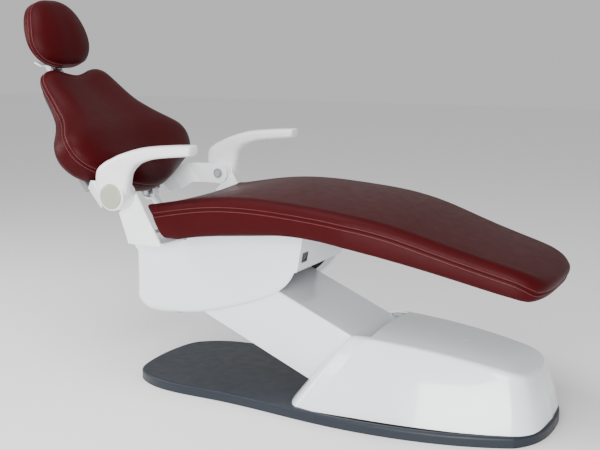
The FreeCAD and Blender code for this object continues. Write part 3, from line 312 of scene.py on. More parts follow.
class Finish:
    """A procedural material, built node by node."""

    def __init__(self, name, roughness=0.5, metallic=0.0, coat=0.0, coat_roughness=0.1, specular=0.5):
        self.material = bpy.data.materials.new(name)
        self.material.use_nodes = True
        self.tree = self.material.node_tree
        self.shader = self.tree.nodes["Principled BSDF"]
        self.shader.inputs["Metallic"].default_value = metallic
        self.shader.inputs["Coat Weight"].default_value = coat
        self.shader.inputs["Coat Roughness"].default_value = coat_roughness
        self.shader.inputs["Specular IOR Level"].default_value = specular
        self.shader.inputs["Roughness"].default_value = roughness
        self.place = self.tree.nodes.new("ShaderNodeTexCoord").outputs["Object"]

    def link(self, source, target):
        self.tree.links.new(source, target)

    def noise(self, scale, detail=3.0, stretch=None):
        """Cloudy variation; the scale is in waves per metre."""
        node = self.tree.nodes.new("ShaderNodeTexNoise")
        node.inputs["Scale"].default_value = scale
        node.inputs["Detail"].default_value = detail
        place = self.place
        if stretch:
            mapping = self.tree.nodes.new("ShaderNodeMapping")
            mapping.inputs["Scale"].default_value = stretch
            self.link(place, mapping.inputs["Vector"])
            place = mapping.outputs["Vector"]
        self.link(place, node.inputs["Vector"])
        return node.outputs["Fac"]

    def cells(self, scale):
        """A web of cells, such as the creases of a grain."""
        node = self.tree.nodes.new("ShaderNodeTexVoronoi")
        node.feature = "DISTANCE_TO_EDGE"
        node.inputs["Scale"].default_value = scale
        self.link(self.place, node.inputs["Vector"])
        return node.outputs["Distance"]

    def scaled(self, source, from_low, from_high, to_low, to_high):
        node = self.tree.nodes.new("ShaderNodeMapRange")
        for name, value in (("From Min", from_low), ("From Max", from_high),
                            ("To Min", to_low), ("To Max", to_high)):
            node.inputs[name].default_value = value
        self.link(source, node.inputs["Value"])
        return node.outputs["Result"]

    def sum(self, first, second):
        node = self.tree.nodes.new("ShaderNodeMath")
        node.operation = "ADD"
        self.link(first, node.inputs[0])
        self.link(second, node.inputs[1])
        return node.outputs["Value"]

    def mark(self, name):
        """A value that the mesh carries at each corner."""
        node = self.tree.nodes.new("ShaderNodeAttribute")
        node.attribute_name = name
        return node.outputs["Fac"]

    def colour(self, share, first, second):
        """A colour between two, by a share from 0 to 1."""
        node = self.tree.nodes.new("ShaderNodeMix")
        node.data_type = "RGBA"
        self.link(share, node.inputs["Factor"])
        for socket, value in ((node.inputs[6], first), (node.inputs[7], second)):
            if hasattr(value, "is_output"):
                self.link(value, socket)
            else:
                socket.default_value = (*value[:3], 1.0)
        return node.outputs[2]

    def bump(self, height, strength, distance):
        node = self.tree.nodes.new("ShaderNodeBump")
        node.inputs["Strength"].default_value = strength
        node.inputs["Distance"].default_value = distance
        self.link(height, node.inputs["Height"])
        self.link(node.outputs["Normal"], self.shader.inputs["Normal"])

    def set(self, socket, source):
        self.link(source, self.shader.inputs[socket])


def shade(colour, factor):
    return tuple(clamp(channel * factor) for channel in colour[:3])


finishes = {}


def finish_named(name, maker, *values):
    """Make each finish once."""
    if name not in finishes:
        finishes[name] = maker(name, *values)
    return finishes[name]


def leather(name, colour):
    """Burgundy upholstery leather: fine grain, soft clouding, darker in the seams as painted shade in their
    grooves, and drier there.
    """
    finish = Finish(name, specular=0.09)
    clouds = finish.scaled(finish.noise(7.0, 4.0), 0.35, 0.65, 0.0, 1.0)
    body = finish.colour(clouds, colour, shade(colour, 0.92))
    creases = finish.scaled(finish.cells(640.0), 0.0, 0.1, 1.0, 0.0)
    grain = finish.colour(finish.scaled(creases, 0.0, 1.0, 0.0, 0.16), body, shade(colour, 0.45))
    # Painted shade: the colour darkens towards the middle of each seam groove, where shade falls; the seam mark
    # also roughens the leather there.
    seam = finish.colour(finish.scaled(finish.mark("seam"), 0.0, 1.0, 0.0, 0.5), grain, shade(colour, 0.3))
    finish.set("Base Color", seam)
    patches = finish.scaled(finish.noise(32.0, 3.0), 0.3, 0.7, 0.42, 0.47)
    finish.set("Roughness", finish.sum(patches, finish.scaled(finish.mark("seam"), 0.0, 1.0, 0.0, 0.2)))
    pebbles = finish.scaled(finish.cells(640.0), 0.0, 0.35, 0.0, 1.0)
    pores = finish.scaled(finish.noise(1700.0, 2.0), 0.0, 1.0, 0.0, 0.35)
    finish.bump(finish.sum(pebbles, pores), 0.22, 0.0005)
    return finish.material


def thread(name, colour):
    """Twisted sewing thread."""
    finish = Finish(name, roughness=0.6, specular=0.3)
    twist = finish.scaled(finish.noise(2600.0, 1.0), 0.3, 0.7, 0.0, 1.0)
    finish.set("Base Color", finish.colour(twist, colour, shade(colour, 0.7)))
    finish.bump(twist, 0.4, 0.0003)
    return finish.material


def gloss_plastic(name, colour, roughness=0.17, coat=0.6):
    """Moulded plastic with a polished face: a faint orange peel, slight toning and handling marks."""
    finish = Finish(name, coat=coat, coat_roughness=0.06, specular=0.5)
    tone = finish.scaled(finish.noise(3.5, 2.0), 0.3, 0.7, 0.0, 1.0)
    finish.set("Base Color", finish.colour(tone, colour, shade(colour, 0.965)))
    smears = finish.scaled(finish.noise(24.0, 5.0), 0.35, 0.75, roughness, roughness + 0.12)
    finish.set("Roughness", smears)
    finish.bump(finish.noise(130.0, 1.0), 0.05, 0.0006)
    return finish.material


def painted_steel(name, colour):
    """Powder-coated steel: a fine even texture, worn a little paler on its edges."""
    finish = Finish(name, specular=0.5)
    wear = finish.scaled(finish.mark("wear"), 0.2, 0.9, 0.0, 0.5)
    tone = finish.scaled(finish.noise(11.0, 3.0), 0.3, 0.7, 0.0, 1.0)
    body = finish.colour(tone, colour, shade(colour, 0.93))
    finish.set("Base Color", finish.colour(wear, body, shade(colour, 1.12)))
    finish.set("Roughness", finish.scaled(finish.noise(60.0, 3.0), 0.3, 0.7, 0.3, 0.42))
    finish.bump(finish.noise(900.0, 2.0), 0.12, 0.0003)
    return finish.material


def grained_plastic(name, colour, grain=420.0, roughness=0.5):
    """Matt moulded plastic with a fine leather-like grain and scuffed edges."""
    finish = Finish(name, specular=0.3)
    scuffs = finish.scaled(finish.noise(18.0, 6.0), 0.55, 0.8, 0.0, 0.5)
    body = finish.colour(scuffs, colour, shade(colour, 1.15))
    wear = finish.scaled(finish.mark("wear"), 0.2, 0.9, 0.0, 0.35)
    finish.set("Base Color", finish.colour(wear, body, shade(colour, 1.7)))
    finish.set("Roughness", finish.scaled(finish.noise(30.0, 3.0), 0.3, 0.7, roughness - 0.04, roughness + 0.04))
    finish.bump(finish.scaled(finish.cells(grain), 0.0, 0.3, 0.0, 1.0), 0.25, 0.0004)
    return finish.material


def machined_steel(name, colour, roughness=0.32, stretch=(1.0, 14.0, 1.0)):
    """Turned or brushed metal, with the tool's lines one way."""
    finish = Finish(name, metallic=1.0)
    lines = finish.noise(160.0, 4.0, stretch)
    finish.set("Base Color", finish.colour(finish.scaled(lines, 0.3, 0.7, 0.0, 1.0), colour, shade(colour, 0.78)))
    finish.set("Roughness", finish.scaled(lines, 0.3, 0.7, roughness - 0.08, roughness + 0.1))
    finish.bump(lines, 0.08, 0.0002)
    return finish.material


def floor_finish(name, colour):
    """A plain pale floor with the least unevenness."""
    finish = Finish(name, specular=0.2)
    finish.set("Base Color", finish.colour(finish.noise(1.2, 2.0), colour, shade(colour, 0.99)))
    finish.set("Roughness", finish.scaled(finish.noise(5.0, 3.0), 0.3, 0.7, 0.6, 0.7))
    return finish.material


def finish_for(slot):
    """The finish of each material slot, in the colours that the panel holds."""
    colours = bpy.context.scene.chair_colours
    makers = {
        "burgundy_leather": (leather, colours.leather),
        "white_shell": (gloss_plastic, colours.shell, 0.16, 0.7),
        "armrest_white": (gloss_plastic, colours.armrest, 0.26, 0.25),
        "grey_cap": (gloss_plastic, colours.cap, 0.3, 0.15),
        "white_paint": (painted_steel, colours.paint),
        "plate_plastic": (grained_plastic, colours.plate, 420.0, 0.42),
        "black_board": (grained_plastic, colours.board, 300.0, 0.6),
        "switch_black": (gloss_plastic, colours.switch, 0.3, 0.1),
        "lever_plastic": (grained_plastic, colours.lever, 500.0, 0.4),
        "actuator_grey": (painted_steel, colours.actuator),
        "steel_grey": (painted_steel, colours.frame_paint),
        "steel_pin": (machined_steel, (0.5, 0.51, 0.53), 0.42),
        "bronze": (machined_steel, (0.55, 0.36, 0.14), 0.38),
        "chrome_bar": (machined_steel, (0.5, 0.51, 0.53), 0.24, (1.0, 1.0, 14.0)),
    }
    return finish_named("finish_" + slot, makers[slot][0], *makers[slot][1:])


NODE_SLOTS = {entry["node"]: entry["material_slot"] for entry in frame["record"]["subparts"]}


# ---------------------------------------------------------------- upholstery

class Pad:
    """An upholstered form on a plan outline: a crowned face, a soft roll, a sewn seam, a boxing and a flat back.

    outline: closed counter-clockwise loop in the pad's plane. face and under: heights over a plane point.
    roll: width and height of the soft edge. seam: how far below the roll the seam lies."""

    def __init__(self, outline, spine, face, under, roll, seam, bulge, back_round, lean, place, crisp=0.0):
        self.outline = outline
        self.start = min(point.x for point in outline)
        self.crisp = crisp
        self.inside = inward(outline)
        self.spine = spine
        self.face = face
        self.under = under
        self.roll_in, self.roll_down = roll
        self.seam = seam
        self.bulge = bulge
        self.back_round = back_round
        self.lean = lean
        self.place = place

    def thickness(self, i):
        point = self.outline[i] + self.inside[i] * 4.0 * MM
        return self.face(point) - self.under(point)

    def edge_point(self, i, inset, depth):
        """A point of the side: inset from the outline, depth below the face."""
        thick = self.thickness(i)
        share = clamp(depth / thick)
        point = self.outline[i] + self.inside[i] * inset + self.lean(self.outline[i]) * share
        level = self.face(self.outline[i] + self.inside[i] * inset) - depth
        return Vector((point.x, point.y, level))

    def thinness(self, i):
        """Thin stretches of the pad have a smaller roll and a higher seam."""
        return clamp(self.thickness(i) / (2.0 * self.roll_down), 0.5, 1.0)

    def roll_scale(self, i):
        """The roll also tightens at the pad's first edge."""
        near_start = 1.0 - ease(self.outline[i].x, self.start + 4.0 * MM, self.start + 45.0 * MM)
        return self.thinness(i) * (1.0 - self.crisp * near_start)

    def side(self, i, depth):
        """Inset of the side at a depth below the seam's start: swelling between seam and back."""
        thick = self.thickness(i)
        start = self.seam_depth(i)
        share = clamp((depth - start) / max(thick - start, 1e-5))
        swell = self.bulge * math.sin(math.pi * share) * clamp((thick - start) / (60.0 * MM))
        return -swell

    def seam_depth(self, i):
        return (self.roll_down + self.seam) * self.thinness(i)

    def pucker(self, i):
        """Gathers along the seam, as thread pulls the leather in."""
        wave = math.sin(i * 2.1) + 0.6 * math.sin(i * 0.83 + 1.3) + 0.4 * math.sin(i * 5.7 + 0.4)
        return wave * 0.22 * MM

    def rings(self):
        count = len(self.outline)
        rings, marks = [], []

        def add(points, mark):
            rings.append([self.place @ Vector(point) for point in points])
            marks.append(mark)
        edge = [self.outline[i] + self.inside[i] * self.roll_in * self.roll_scale(i) for i in range(count)]
        for step in range(19):
            share = math.sin(0.5 * math.pi * step / 18.0)
            plane = [self.spine(edge[i]).lerp(edge[i], share) for i in range(count)]
            add([(point.x, point.y, self.face(point)) for point in plane], 0.0)
        for step in range(1, 13):
            angle = 0.5 * math.pi * step / 12.0
            points = []
            for i in range(count):
                scale = self.roll_scale(i)
                near = ease(step, 6, 12)
                inset = self.roll_in * scale * (1.0 - math.sin(angle)) + self.pucker(i) * near
                points.append(self.edge_point(i, inset, self.roll_down * scale * (1.0 - math.cos(angle))))
            add(points, 0.0)
        for offset, inset, mark in ((-2.6, 0.1, 0.0), (-1.1, 0.5, 0.4), (0.0, 1.5, 1.0), (1.1, 0.5, 0.4),
                                    (2.6, 0.1, 0.0)):
            add([self.edge_point(i, inset * MM + self.pucker(i), self.seam_depth(i) + offset * MM)
                 for i in range(count)], mark)
        for step in range(1, 12):
            points = []
            for i in range(count):
                start = self.seam_depth(i) + 2.6 * MM
                depth = start + (self.thickness(i) - self.back_round - start) * (step / 11.0)
                fade = 1.0 - ease(step, 0, 4)
                points.append(self.edge_point(i, self.side(i, depth) + self.pucker(i) * fade, depth))
            add(points, 0.0)
        for step in range(1, 6):
            angle = 0.5 * math.pi * step / 5.0
            add([self.edge_point(i, self.back_round * (1.0 - math.cos(angle)),
                                 self.thickness(i) - self.back_round * (1.0 - math.sin(angle)))
                 for i in range(count)], 0.0)
        under_edge = [self.place.inverted() @ point for point in rings[-1]]
        for step in range(1, 8):
            share = 1.0 - step / 7.0
            points = []
            for point in under_edge:
                flat = Vector((point.x, point.y))
                plane = self.spine(flat).lerp(flat, share)
                points.append((plane.x, plane.y, self.under(plane)))
            add(points, 0.0)
        return rings, marks

    def mesh(self, name, material):
        rings, marks = self.rings()
        corners = [corner for ring in rings for corner in ring]
        count = len(self.outline)
        data = bpy.data.meshes.new(name)
        data.from_pydata([tuple(corner) for corner in corners], [], ring_faces(rings))
        # The seam mark: the leather finish reads it to roughen the seam and to darken the seam groove with painted
        # shade.
        layer = data.attributes.new("seam", "FLOAT", "POINT")
        layer.data.foreach_set("value", [marks[i // count] for i in range(len(corners))])
        piece = bpy.data.objects.new(name, data)
        bpy.context.scene.collection.objects.link(piece)
        data.materials.append(material)
        tidy_mesh(data, 0.2 * MM)
        for face in data.polygons:
            face.use_smooth = True
        return piece

    def stitch_line(self, offset):
        """The row's path beside the seam, and the direction out of the leather at each point."""
        path, out = [], []
        for i in range(len(self.outline)):
            depth = self.seam_depth(i) + offset
            path.append(self.place @ self.edge_point(i, 0.15 * MM + self.side(i, depth), depth))
            away = -self.inside[i]
            out.append((self.place.to_3x3() @ Vector((away.x, away.y, 0.0))).normalized())
        return path, out


def stitches(name, rows, sizes, material):
    """Rows of single stitches, each a short closed capsule that dips into the leather at its ends."""
    corners, faces = [], []
    shape = ((-0.5, 0.25, -0.45), (-0.36, 0.85, 0.0), (0.0, 1.0, 0.28), (0.36, 0.85, 0.0), (0.5, 0.25, -0.45))
    sides = 6
    for path, out in rows:
        lengths = [0.0]
        for a, b in zip(path, path[1:] + path[:1]):
            lengths.append(lengths[-1] + (b - a).length)
        pitch = sizes.stitch_length + sizes.stitch_gap
        total = int(lengths[-1] / pitch)
        i = 0
        for number in range(total):
            middle = (number + 0.5) * lengths[-1] / total
            while lengths[i + 1] < middle:
                i += 1
            share = (middle - lengths[i]) / (lengths[i + 1] - lengths[i])
            first, second = path[i], path[(i + 1) % len(path)]
            along = (second - first).normalized()
            up = out[i].lerp(out[(i + 1) % len(path)], share)
            up = (up - along * up.dot(along)).normalized()
            across = along.cross(up)
            centre = first.lerp(second, share)
            start = len(corners)
            for place, width, rise in shape:
                for k in range(sides):
                    angle = 2.0 * math.pi * k / sides
                    radius = sizes.thread_radius * width
                    corners.append(centre + along * (place * sizes.stitch_length)
                                   + up * (radius * math.sin(angle) + rise * sizes.thread_radius)
                                   + across * (radius * math.cos(angle)))
            for ring in range(len(shape) - 1):
                for k in range(sides):
                    a, b = start + ring * sides + k, start + ring * sides + (k + 1) % sides
                    faces.append((a, b, b + sides, a + sides))
            faces.append(tuple(start + k for k in reversed(range(sides))))
            faces.append(tuple(start + (len(shape) - 1) * sides + k for k in range(sides)))
    return new_piece(name, corners, faces, material)


def upholster(pad, name, node, body):
    """A pad's leather and its twin rows of stitches, in place of its CAD solid."""
    colours, sizes = bpy.context.scene.chair_colours, bpy.context.scene.chair_sizes
    cover = pad.mesh(name + "_leather", finish_for("burgundy_leather"))
    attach(cover, body)
    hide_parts(node)
    rows = [pad.stitch_line(offset) for offset in (-sizes.row_spread, sizes.row_spread)]
    seam = stitches(name + "_stitching", rows, sizes, finish_named("finish_thread", thread, colours.thread))
    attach(seam, body)
    return cover


def seat_pad():
    """The seat: one long cushion from the hips to the feet, dished at its head end."""
    solid = Solid("seat_cushion")
    low, high = solid.low, solid.high
    head, foot = low.x, high.x
    step = 12.0 * MM

    def face_line(x):
        return solid.seen((clamp(x, head + 2.0 * MM, foot - 26.0 * MM), 0.0, 2.0), (0, 0, -1)).z

    def under_line(x):
        return solid.seen((clamp(x, head + 66.0 * MM, foot - 34.0 * MM), 0.0, 0.0), (0, 0, 1)).z
    steps = int((foot - head) / step) + 1
    tops = curve_through([(head + i * step, face_line(head + i * step)) for i in range(steps + 1)])
    unders = curve_through([(head + i * step, under_line(head + i * step)) for i in range(steps + 1)])

    def half_width(x):
        """The widest place of the side at x, read just below the face."""
        widest = 0.0
        for drop in (6.0, 14.0, 22.0, 30.0, 38.0):
            hit = solid.tree.ray_cast(Vector((x, 1.0, tops(x) - drop * MM)), Vector((0, -1, 0)))[0]
            widest = max(widest, hit.y if hit else 0.0)
        return widest
    count = 720
    places = [0.5 * (head + foot) - 0.5 * (foot - head) * math.cos(math.pi * k / count) for k in range(count + 1)]
    near = [Vector((x, -half_width(max(x, head + 40.0 * MM)))) for x in places]
    outline = near + [Vector((point.x, -point.y)) for point in reversed(near[:-1])]
    outline = relaxed(evenly(outline, 680), 5)

    def spine(point):
        return Vector((clamp(point.x, head + 150.0 * MM, foot - 130.0 * MM), 0.0))

    def face(point):
        half = abs(point.y) / high.y
        crown = (1.0 - min(half, 1.0) ** 2.2)
        dish = 1.0 - ease(point.x, head + 10.0 * MM, head + 330.0 * MM)
        rise = 11.0 * MM * crown * (1.0 - dish) - 13.0 * MM * crown * dish
        end = clamp((point.x - (foot - 90.0 * MM)) / (90.0 * MM))
        return tops(point.x) + rise * (1.0 - 0.6 * end) - 8.0 * MM * end ** 2

    def lean(point):
        at_head = clamp(1.0 - (point.x - head) / (260.0 * MM))
        at_foot = ease(point.x, foot - 110.0 * MM, foot - 10.0 * MM)
        return Vector((60.0 * MM * at_head - 26.0 * MM * at_foot, 0.0))
    return Pad(outline, spine, face, lambda point: unders(point.x), (30.0 * MM, 27.0 * MM), 6.0 * MM,
               3.0 * MM, 11.0 * MM, lean, Matrix.Identity(4), 0.6)


def tilted(place, lean):
    """A frame that leans back by an angle, with X forward out of its face."""
    return Matrix.Translation(place) @ Matrix.Rotation(-lean, 4, "Y")


def face_up(place):
    """The same frame with the pad's plane as XY: X up along the pad, Y to the right, Z out of its face."""
    turn = Matrix(((0.0, 0.0, 1.0, 0.0), (0.0, -1.0, 0.0, 0.0), (1.0, 0.0, 0.0, 0.0), (0.0, 0.0, 0.0, 1.0)))
    return place @ turn


def star_outline(solid, centre, level, count, passes):
    """The loop where a level plane meets a solid, seen from a centre in it."""
    loop = []
    for i in range(count):
        angle = 2.0 * math.pi * i / count
        away = Vector((math.cos(angle), math.sin(angle), 0.0))
        hit = solid.seen(Vector((centre[0], centre[1], level)) + away, -away)
        loop.append(Vector((hit.x, hit.y)))
    return relaxed(evenly(loop, count), passes)


def back_pad():
    """The backrest: wide at the hips, narrow at the shoulders, thick at the small of the back."""
    place = face_up(tilted(BACK_PLACE, BACK_LEAN))
    solid = Solid("back_cushion", place)
    tall = solid.high.x
    outline = star_outline(solid, (0.42 * tall, 0.0), 12.0 * MM, 430, 6)
    depth = curve_through([(x * tall, solid.seen((clamp(x, 0.03, 0.9) * tall, 0.4 * MM, 1.0), (0, 0, -1)).z)
                           for x in (0.0, 0.06, 0.14, 0.25, 0.4, 0.55, 0.7, 0.85, 0.97)])
    half = curve_through([(x * tall, solid.seen((x * tall, 1.0, 12.0 * MM), (0, -1, 0)).y)
                          for x in (0.05, 0.15, 0.25, 0.35, 0.5, 0.65, 0.8, 0.92)])

    def spine(point):
        return Vector((clamp(point.x, 0.2 * tall, 0.72 * tall), 0.0))

    def face(point):
        across = min(abs(point.y) / half(point.x), 1.0)
        lumbar = math.exp(-((point.x - 0.3 * tall) / (0.2 * tall)) ** 2)
        hollow = (5.0 + 5.0 * lumbar) * MM * (1.0 - ease(across, 0.0, 0.62))
        rim = 9.0 * MM * ease(across, 0.55, 1.0) ** 2
        foot = 12.0 * MM * (1.0 - ease(point.x, -0.02 * tall, 0.16 * tall))
        top = 5.0 * MM * ease(point.x, 0.82 * tall, 1.0 * tall)
        return depth(point.x) + 3.0 * MM - hollow - rim - foot - top

    def lean(point):
        return Vector((10.0 * MM * (1.0 - ease(point.x, 0.0, 0.2 * tall)), 0.0))
    return Pad(outline, spine, face, lambda point: 0.4 * MM, (62.0 * MM, 34.0 * MM), 4.0 * MM,
               5.0 * MM, 12.0 * MM, lean, place)


def head_pad():
    """The headrest: an egg-shaped pad with a shallow channel for the head."""
    place = face_up(tilted(HEAD_PLACE, HEAD_LEAN))
    solid = Solid("headrest_cushion", place)
    low, high = solid.low, solid.high
    outline = star_outline(solid, (0.0, 0.0), 0.0, 240, 6)
    back = low.z

    def spine(point):
        return Vector((clamp(point.x, -0.3 * high.x, 0.3 * high.x), 0.0))

    def face(point):
        across, up = point.y / high.y, point.x / high.x
        dome = clamp(1.0 - 0.62 * across ** 2 - 0.5 * up ** 2)
        channel = 5.0 * MM * math.exp(-(across / 0.3) ** 2) * (1.0 - 0.5 * ease(up, -0.2, 0.8))
        return back + (high.z - back) * (0.42 + 0.6 * dome) - channel

    def under(point):
        across, up = point.y / high.y, point.x / high.x
        return back + 16.0 * MM * clamp(across ** 2 + up ** 2 - 0.25)
    return Pad(outline, spine, face, under, (34.0 * MM, 20.0 * MM), 3.0 * MM, 3.0 * MM, 10.0 * MM,
               lambda point: Vector((0.0, 0.0)), place)


# ---------------------------------------------------------------- armrests

# Upper and lower edge of the armrest's side view, in pairs from the hub (0, 0) to the tip, in millimetres.
ARM_PAIRS = [(-45.0, -6.0, 45.0, -6.0), (-66.0, 30.0, 50.0, 26.0), (-64.0, 74.0, 58.0, 64.0),
             (-38.0, 99.0, 67.0, 80.0), (-4.0, 116.0, 78.0, 92.0), (34.0, 132.0, 94.0, 103.0),
             (110.0, 153.0, 140.0, 118.0), (200.0, 163.0, 205.0, 127.0), (280.0, 168.0, 278.0, 134.0)]


def arm_limb():
    """The limb as a row of soft sections from edge to edge, closed by a rounded tip."""
    width = 58.0 * MM
    steps = len(ARM_PAIRS) - 1
    upper = curve_through([(i, pair[0] * MM, 0.0, pair[1] * MM) for i, pair in enumerate(ARM_PAIRS)])
    lower = curve_through([(i, pair[2] * MM, 0.0, pair[3] * MM) for i, pair in enumerate(ARM_PAIRS)])
    rings = []
    sides = 56

    def section(top, bottom, half, share):
        centre = (top + bottom) / 2.0
        reach = (top - bottom) / 2.0
        ring = []
        for k in range(sides):
            angle = 2.0 * math.pi * k / sides
            c, s = math.cos(angle), math.sin(angle)
            flat = 2.0 / 3.4
            out = math.copysign(abs(c) ** flat, c) * share
            rise = math.copysign(abs(s) ** flat, s) * share
            ring.append(centre + Vector((0.0, out * half, 0.0)) + reach * rise)
        return ring
    for i in range(steps * 9 + 1):
        place = i / 9.0
        half = width * (0.5 - 0.05 * math.sin(math.pi * clamp(place / 5.0)))
        rings.append(section(upper(place), lower(place), half, 1.0))
    top, bottom = upper(steps), lower(steps)
    forward = Vector((7.0 * MM, 0.0, 0.0))
    for step in range(1, 9):
        angle = 0.5 * math.pi * step / 8.0
        shift = forward * math.sin(angle)
        rings.append(section(top + shift, bottom + shift, width * 0.5, max(math.cos(angle) ** 0.45, 0.02)))
    corners = [corner + Vector((0.0, width / 2.0, 0.0)) for ring in rings for corner in ring]
    faces = ring_faces(rings)
    faces.append(tuple(reversed(range(sides))))
    faces.append(tuple(range(len(corners) - sides, len(corners))))
    return new_piece("arm_limb", corners, faces, None)


def armrest_mesh(name):
    """Limb and hub grown together, as one moulding."""
    limb = arm_limb()
    hub = lathe("arm_hub", [(41.0 * MM, 0.0), (44.0 * MM, 1.0 * MM), (45.0 * MM, 4.0 * MM), (45.0 * MM, 54.0 * MM),
                            (44.0 * MM, 57.0 * MM), (41.5 * MM, 58.0 * MM)], Vector((0, 0, 0)), (0, 1, 0), None)
    piece = joined(name, [limb, hub])
    grow = piece.modifiers.new("grow", "REMESH")
    grow.mode = "VOXEL"
    grow.voxel_size = 2.4 * MM
    soft = piece.modifiers.new("soft", "SMOOTH")
    soft.iterations = 6
    soft.factor = 0.5
    finished(piece)
    for face in piece.data.polygons:
        face.use_smooth = True
    return piece


def build_armrests():
    slots = ("armrest_white", "grey_cap")
    for side, sign in (("left", 1.0), ("right", -1.0)):
        low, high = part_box("armrest_" + side)
        inner = min(abs(low.y), abs(high.y))
        outer = max(abs(low.y), abs(high.y))
        arm = armrest_mesh("armrest_%s_moulding" % side)
        arm.data.materials.clear()
        arm.data.materials.append(finish_for(slots[0]))
        place = Matrix.Translation((HUB.x, sign * inner, HUB.z)) @ Matrix.Diagonal((1.0, sign, 1.0, 1.0))
        arm.data.transform(place)
        tidy_mesh(arm.data, 1e-6)
        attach(arm, "armrest_" + side)
        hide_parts("armrest_" + side)
        radius = (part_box("armrest_cap_" + side)[1].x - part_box("armrest_cap_" + side)[0].x) / 2.0
        profile = [(radius - 0.5 * MM, -1.0 * MM), (radius, 0.4 * MM), (radius, 1.6 * MM)]
        for step in range(1, 15):
            angle = 0.5 * math.pi * step / 14.0
            profile.append((max((radius - 0.4 * MM) * math.cos(angle) ** 0.8, 0.3 * MM),
                            1.6 * MM + 6.4 * MM * math.sin(angle)))
        cap = lathe("armrest_cap_%s_dome" % side, profile, Vector((HUB.x, sign * outer, HUB.z)),
                    (0, sign, 0), finish_for(slots[1]))
        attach(cap, "armrest_" + side)
        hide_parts("armrest_cap_" + side)


# ---------------------------------------------------------------- shells

def side_loop(solid, centre, y, count, passes):
    """The side view of a prism-like solid, seen from a centre, on one plane across Y."""
    loop = []
    for i in range(count):
        angle = 2.0 * math.pi * i / count
        away = Vector((math.cos(angle), 0.0, math.sin(angle)))
        hit = solid.seen(Vector((centre[0], y, centre[1])) + away * 1.5, -away)
        loop.append(Vector((hit.x, hit.z)))
    return relaxed(evenly(loop, count), passes)


def build_housing():
    """The boat-shaped housing under the seat, hollow, with its mouth, its rear slot and its switch window."""
    material = finish_for("white_shell")
    solid = Solid("housing_shell")
    low, high = solid.low, solid.high
    half = high.y
    centre = (low.x + 0.48 * (high.x - low.x), low.z + 0.55 * (high.z - low.z))
    loop = side_loop(solid, centre, -half + 1.5 * MM, 420, 2)
    ceiling = curve_through(ceiling_points(loop, centre))
    radius = 26.0 * MM
    outer = shell_form("housing_outer", loop, half, radius, ceiling, 0.0, material)
    inner_loop = [point + normal * SKIN for point, normal in zip(loop, inward(loop))]
    inner = shell_form("housing_inner", inner_loop, half - SKIN, radius - SKIN, ceiling, 60.0 * MM, material)
    carve(outer, inner)
    arm_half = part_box("arm_cover")[1].y + ARM_OPENING_GAP
    mouth = block("mouth", (low.x + 160.0 * MM, -arm_half, 0.0), (0.2, arm_half, 415.0 * MM))
    carve(outer, mouth)
    rod_low, rod_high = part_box("back_actuator_body")
    middle = 0.5 * (rod_low.y + rod_high.y)
    slot = block("slot", (low.x - 0.1, middle - 34.0 * MM, 395.0 * MM),
                 (low.x + 20.0 * MM, middle + 34.0 * MM, 0.8))
    carve(outer, slot)
    bezel_low, bezel_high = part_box("switch_bezel")
    window = block("window", (bezel_low.x - 0.03, bezel_low.y + 3.0 * MM, bezel_low.z + 3.0 * MM),
                   (bezel_high.x + 0.05, bezel_high.y - 3.0 * MM, bezel_high.z - 3.0 * MM))
    carve(outer, window)
    outer.name = "housing_moulding"
    sharpen(outer, 30.0)
    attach(outer, "seat")
    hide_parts("housing_shell")


def ceiling_points(loop, centre):
    """The top line of the side view, from head to foot."""
    tops = sorted(((point.x, point.y) for point in loop if point.y > centre[1] + 20.0 * MM))
    picked, last = [], -9.0
    for x, z in tops:
        if x > last + 12.0 * MM:
            picked.append((x, z))
            last = x
    return picked


def shell_form(name, loop, half_width, radius, ceiling, lift, material):
    """A side view carried across Y with rounded face edges; its top stays square, and may be raised."""
    inside = inward(loop)
    count = len(loop)

    def ring(inset, y):
        corners = []
        for point, normal in zip(loop, inside):
            near_top = ease(point.y, ceiling(point.x) - 30.0 * MM, ceiling(point.x) - 4.0 * MM)
            placed = point + normal * inset * (1.0 - near_top)
            corners.append((placed.x, y, placed.y + lift * near_top))
        return corners
    steps = 10
    profile = []
    for k in range(steps + 1):
        angle = 0.5 * math.pi * k / steps
        profile.append((radius * (1.0 - math.sin(angle)), half_width - radius * (1.0 - math.cos(angle))))
    rings = [ring(inset, y) for inset, y in profile] + [ring(inset, -y) for inset, y in reversed(profile)]
    corners = [corner for row in rings for corner in row]
    faces = ring_faces(rings)
    faces.append(tuple(reversed(range(count))))
    faces.append(tuple(range(len(corners) - count, len(corners))))
    return new_piece(name, corners, faces, material)


# Plan of the base cover at its foot and at its top edge: from the opening's edge round to the middle of the
# foot end. The first two points are the edge band beside the arm's opening. In millimetres.
COVER_FOOT = [(-24.0, 256.0), (34.0, 268.0), (120.0, 264.0), (302.0, 253.0), (470.0, 228.0), (590.0, 193.0),
              (640.0, 163.0), (663.0, 110.0), (672.0, 0.0)]
COVER_TOP = [(114.0, 160.0), (160.0, 172.0), (215.0, 170.0), (330.0, 164.0), (460.0, 153.0), (560.0, 140.0),
             (604.0, 120.0), (622.0, 78.0), (630.0, 0.0)]
COVER_BOW_FOOT = -93.0
COVER_BOW_TOP = 92.0


def half_loop(points, bow):
    """Near half of a cover plan: the straight edge band, the smooth side and foot end, then the bow."""
    side = curve_through([(i, x, y) for i, (x, y) in enumerate(points[1:])])
    band = [Vector(points[0]).lerp(Vector(points[1]), step / 6.0) for step in range(6)]
    count = 84
    rest = [side((len(points) - 2) * step / count) for step in range(count + 1)]
    front = []
    corner = Vector(points[0])
    for step in range(1, 24):
        angle = 0.5 * math.pi * (1.0 - step / 23.0)
        front.append(Vector((bow + (corner.x - bow) * (1.0 - math.cos(angle)), corner.y * math.sin(angle))))
    return [Vector(point) for point in band + rest], front


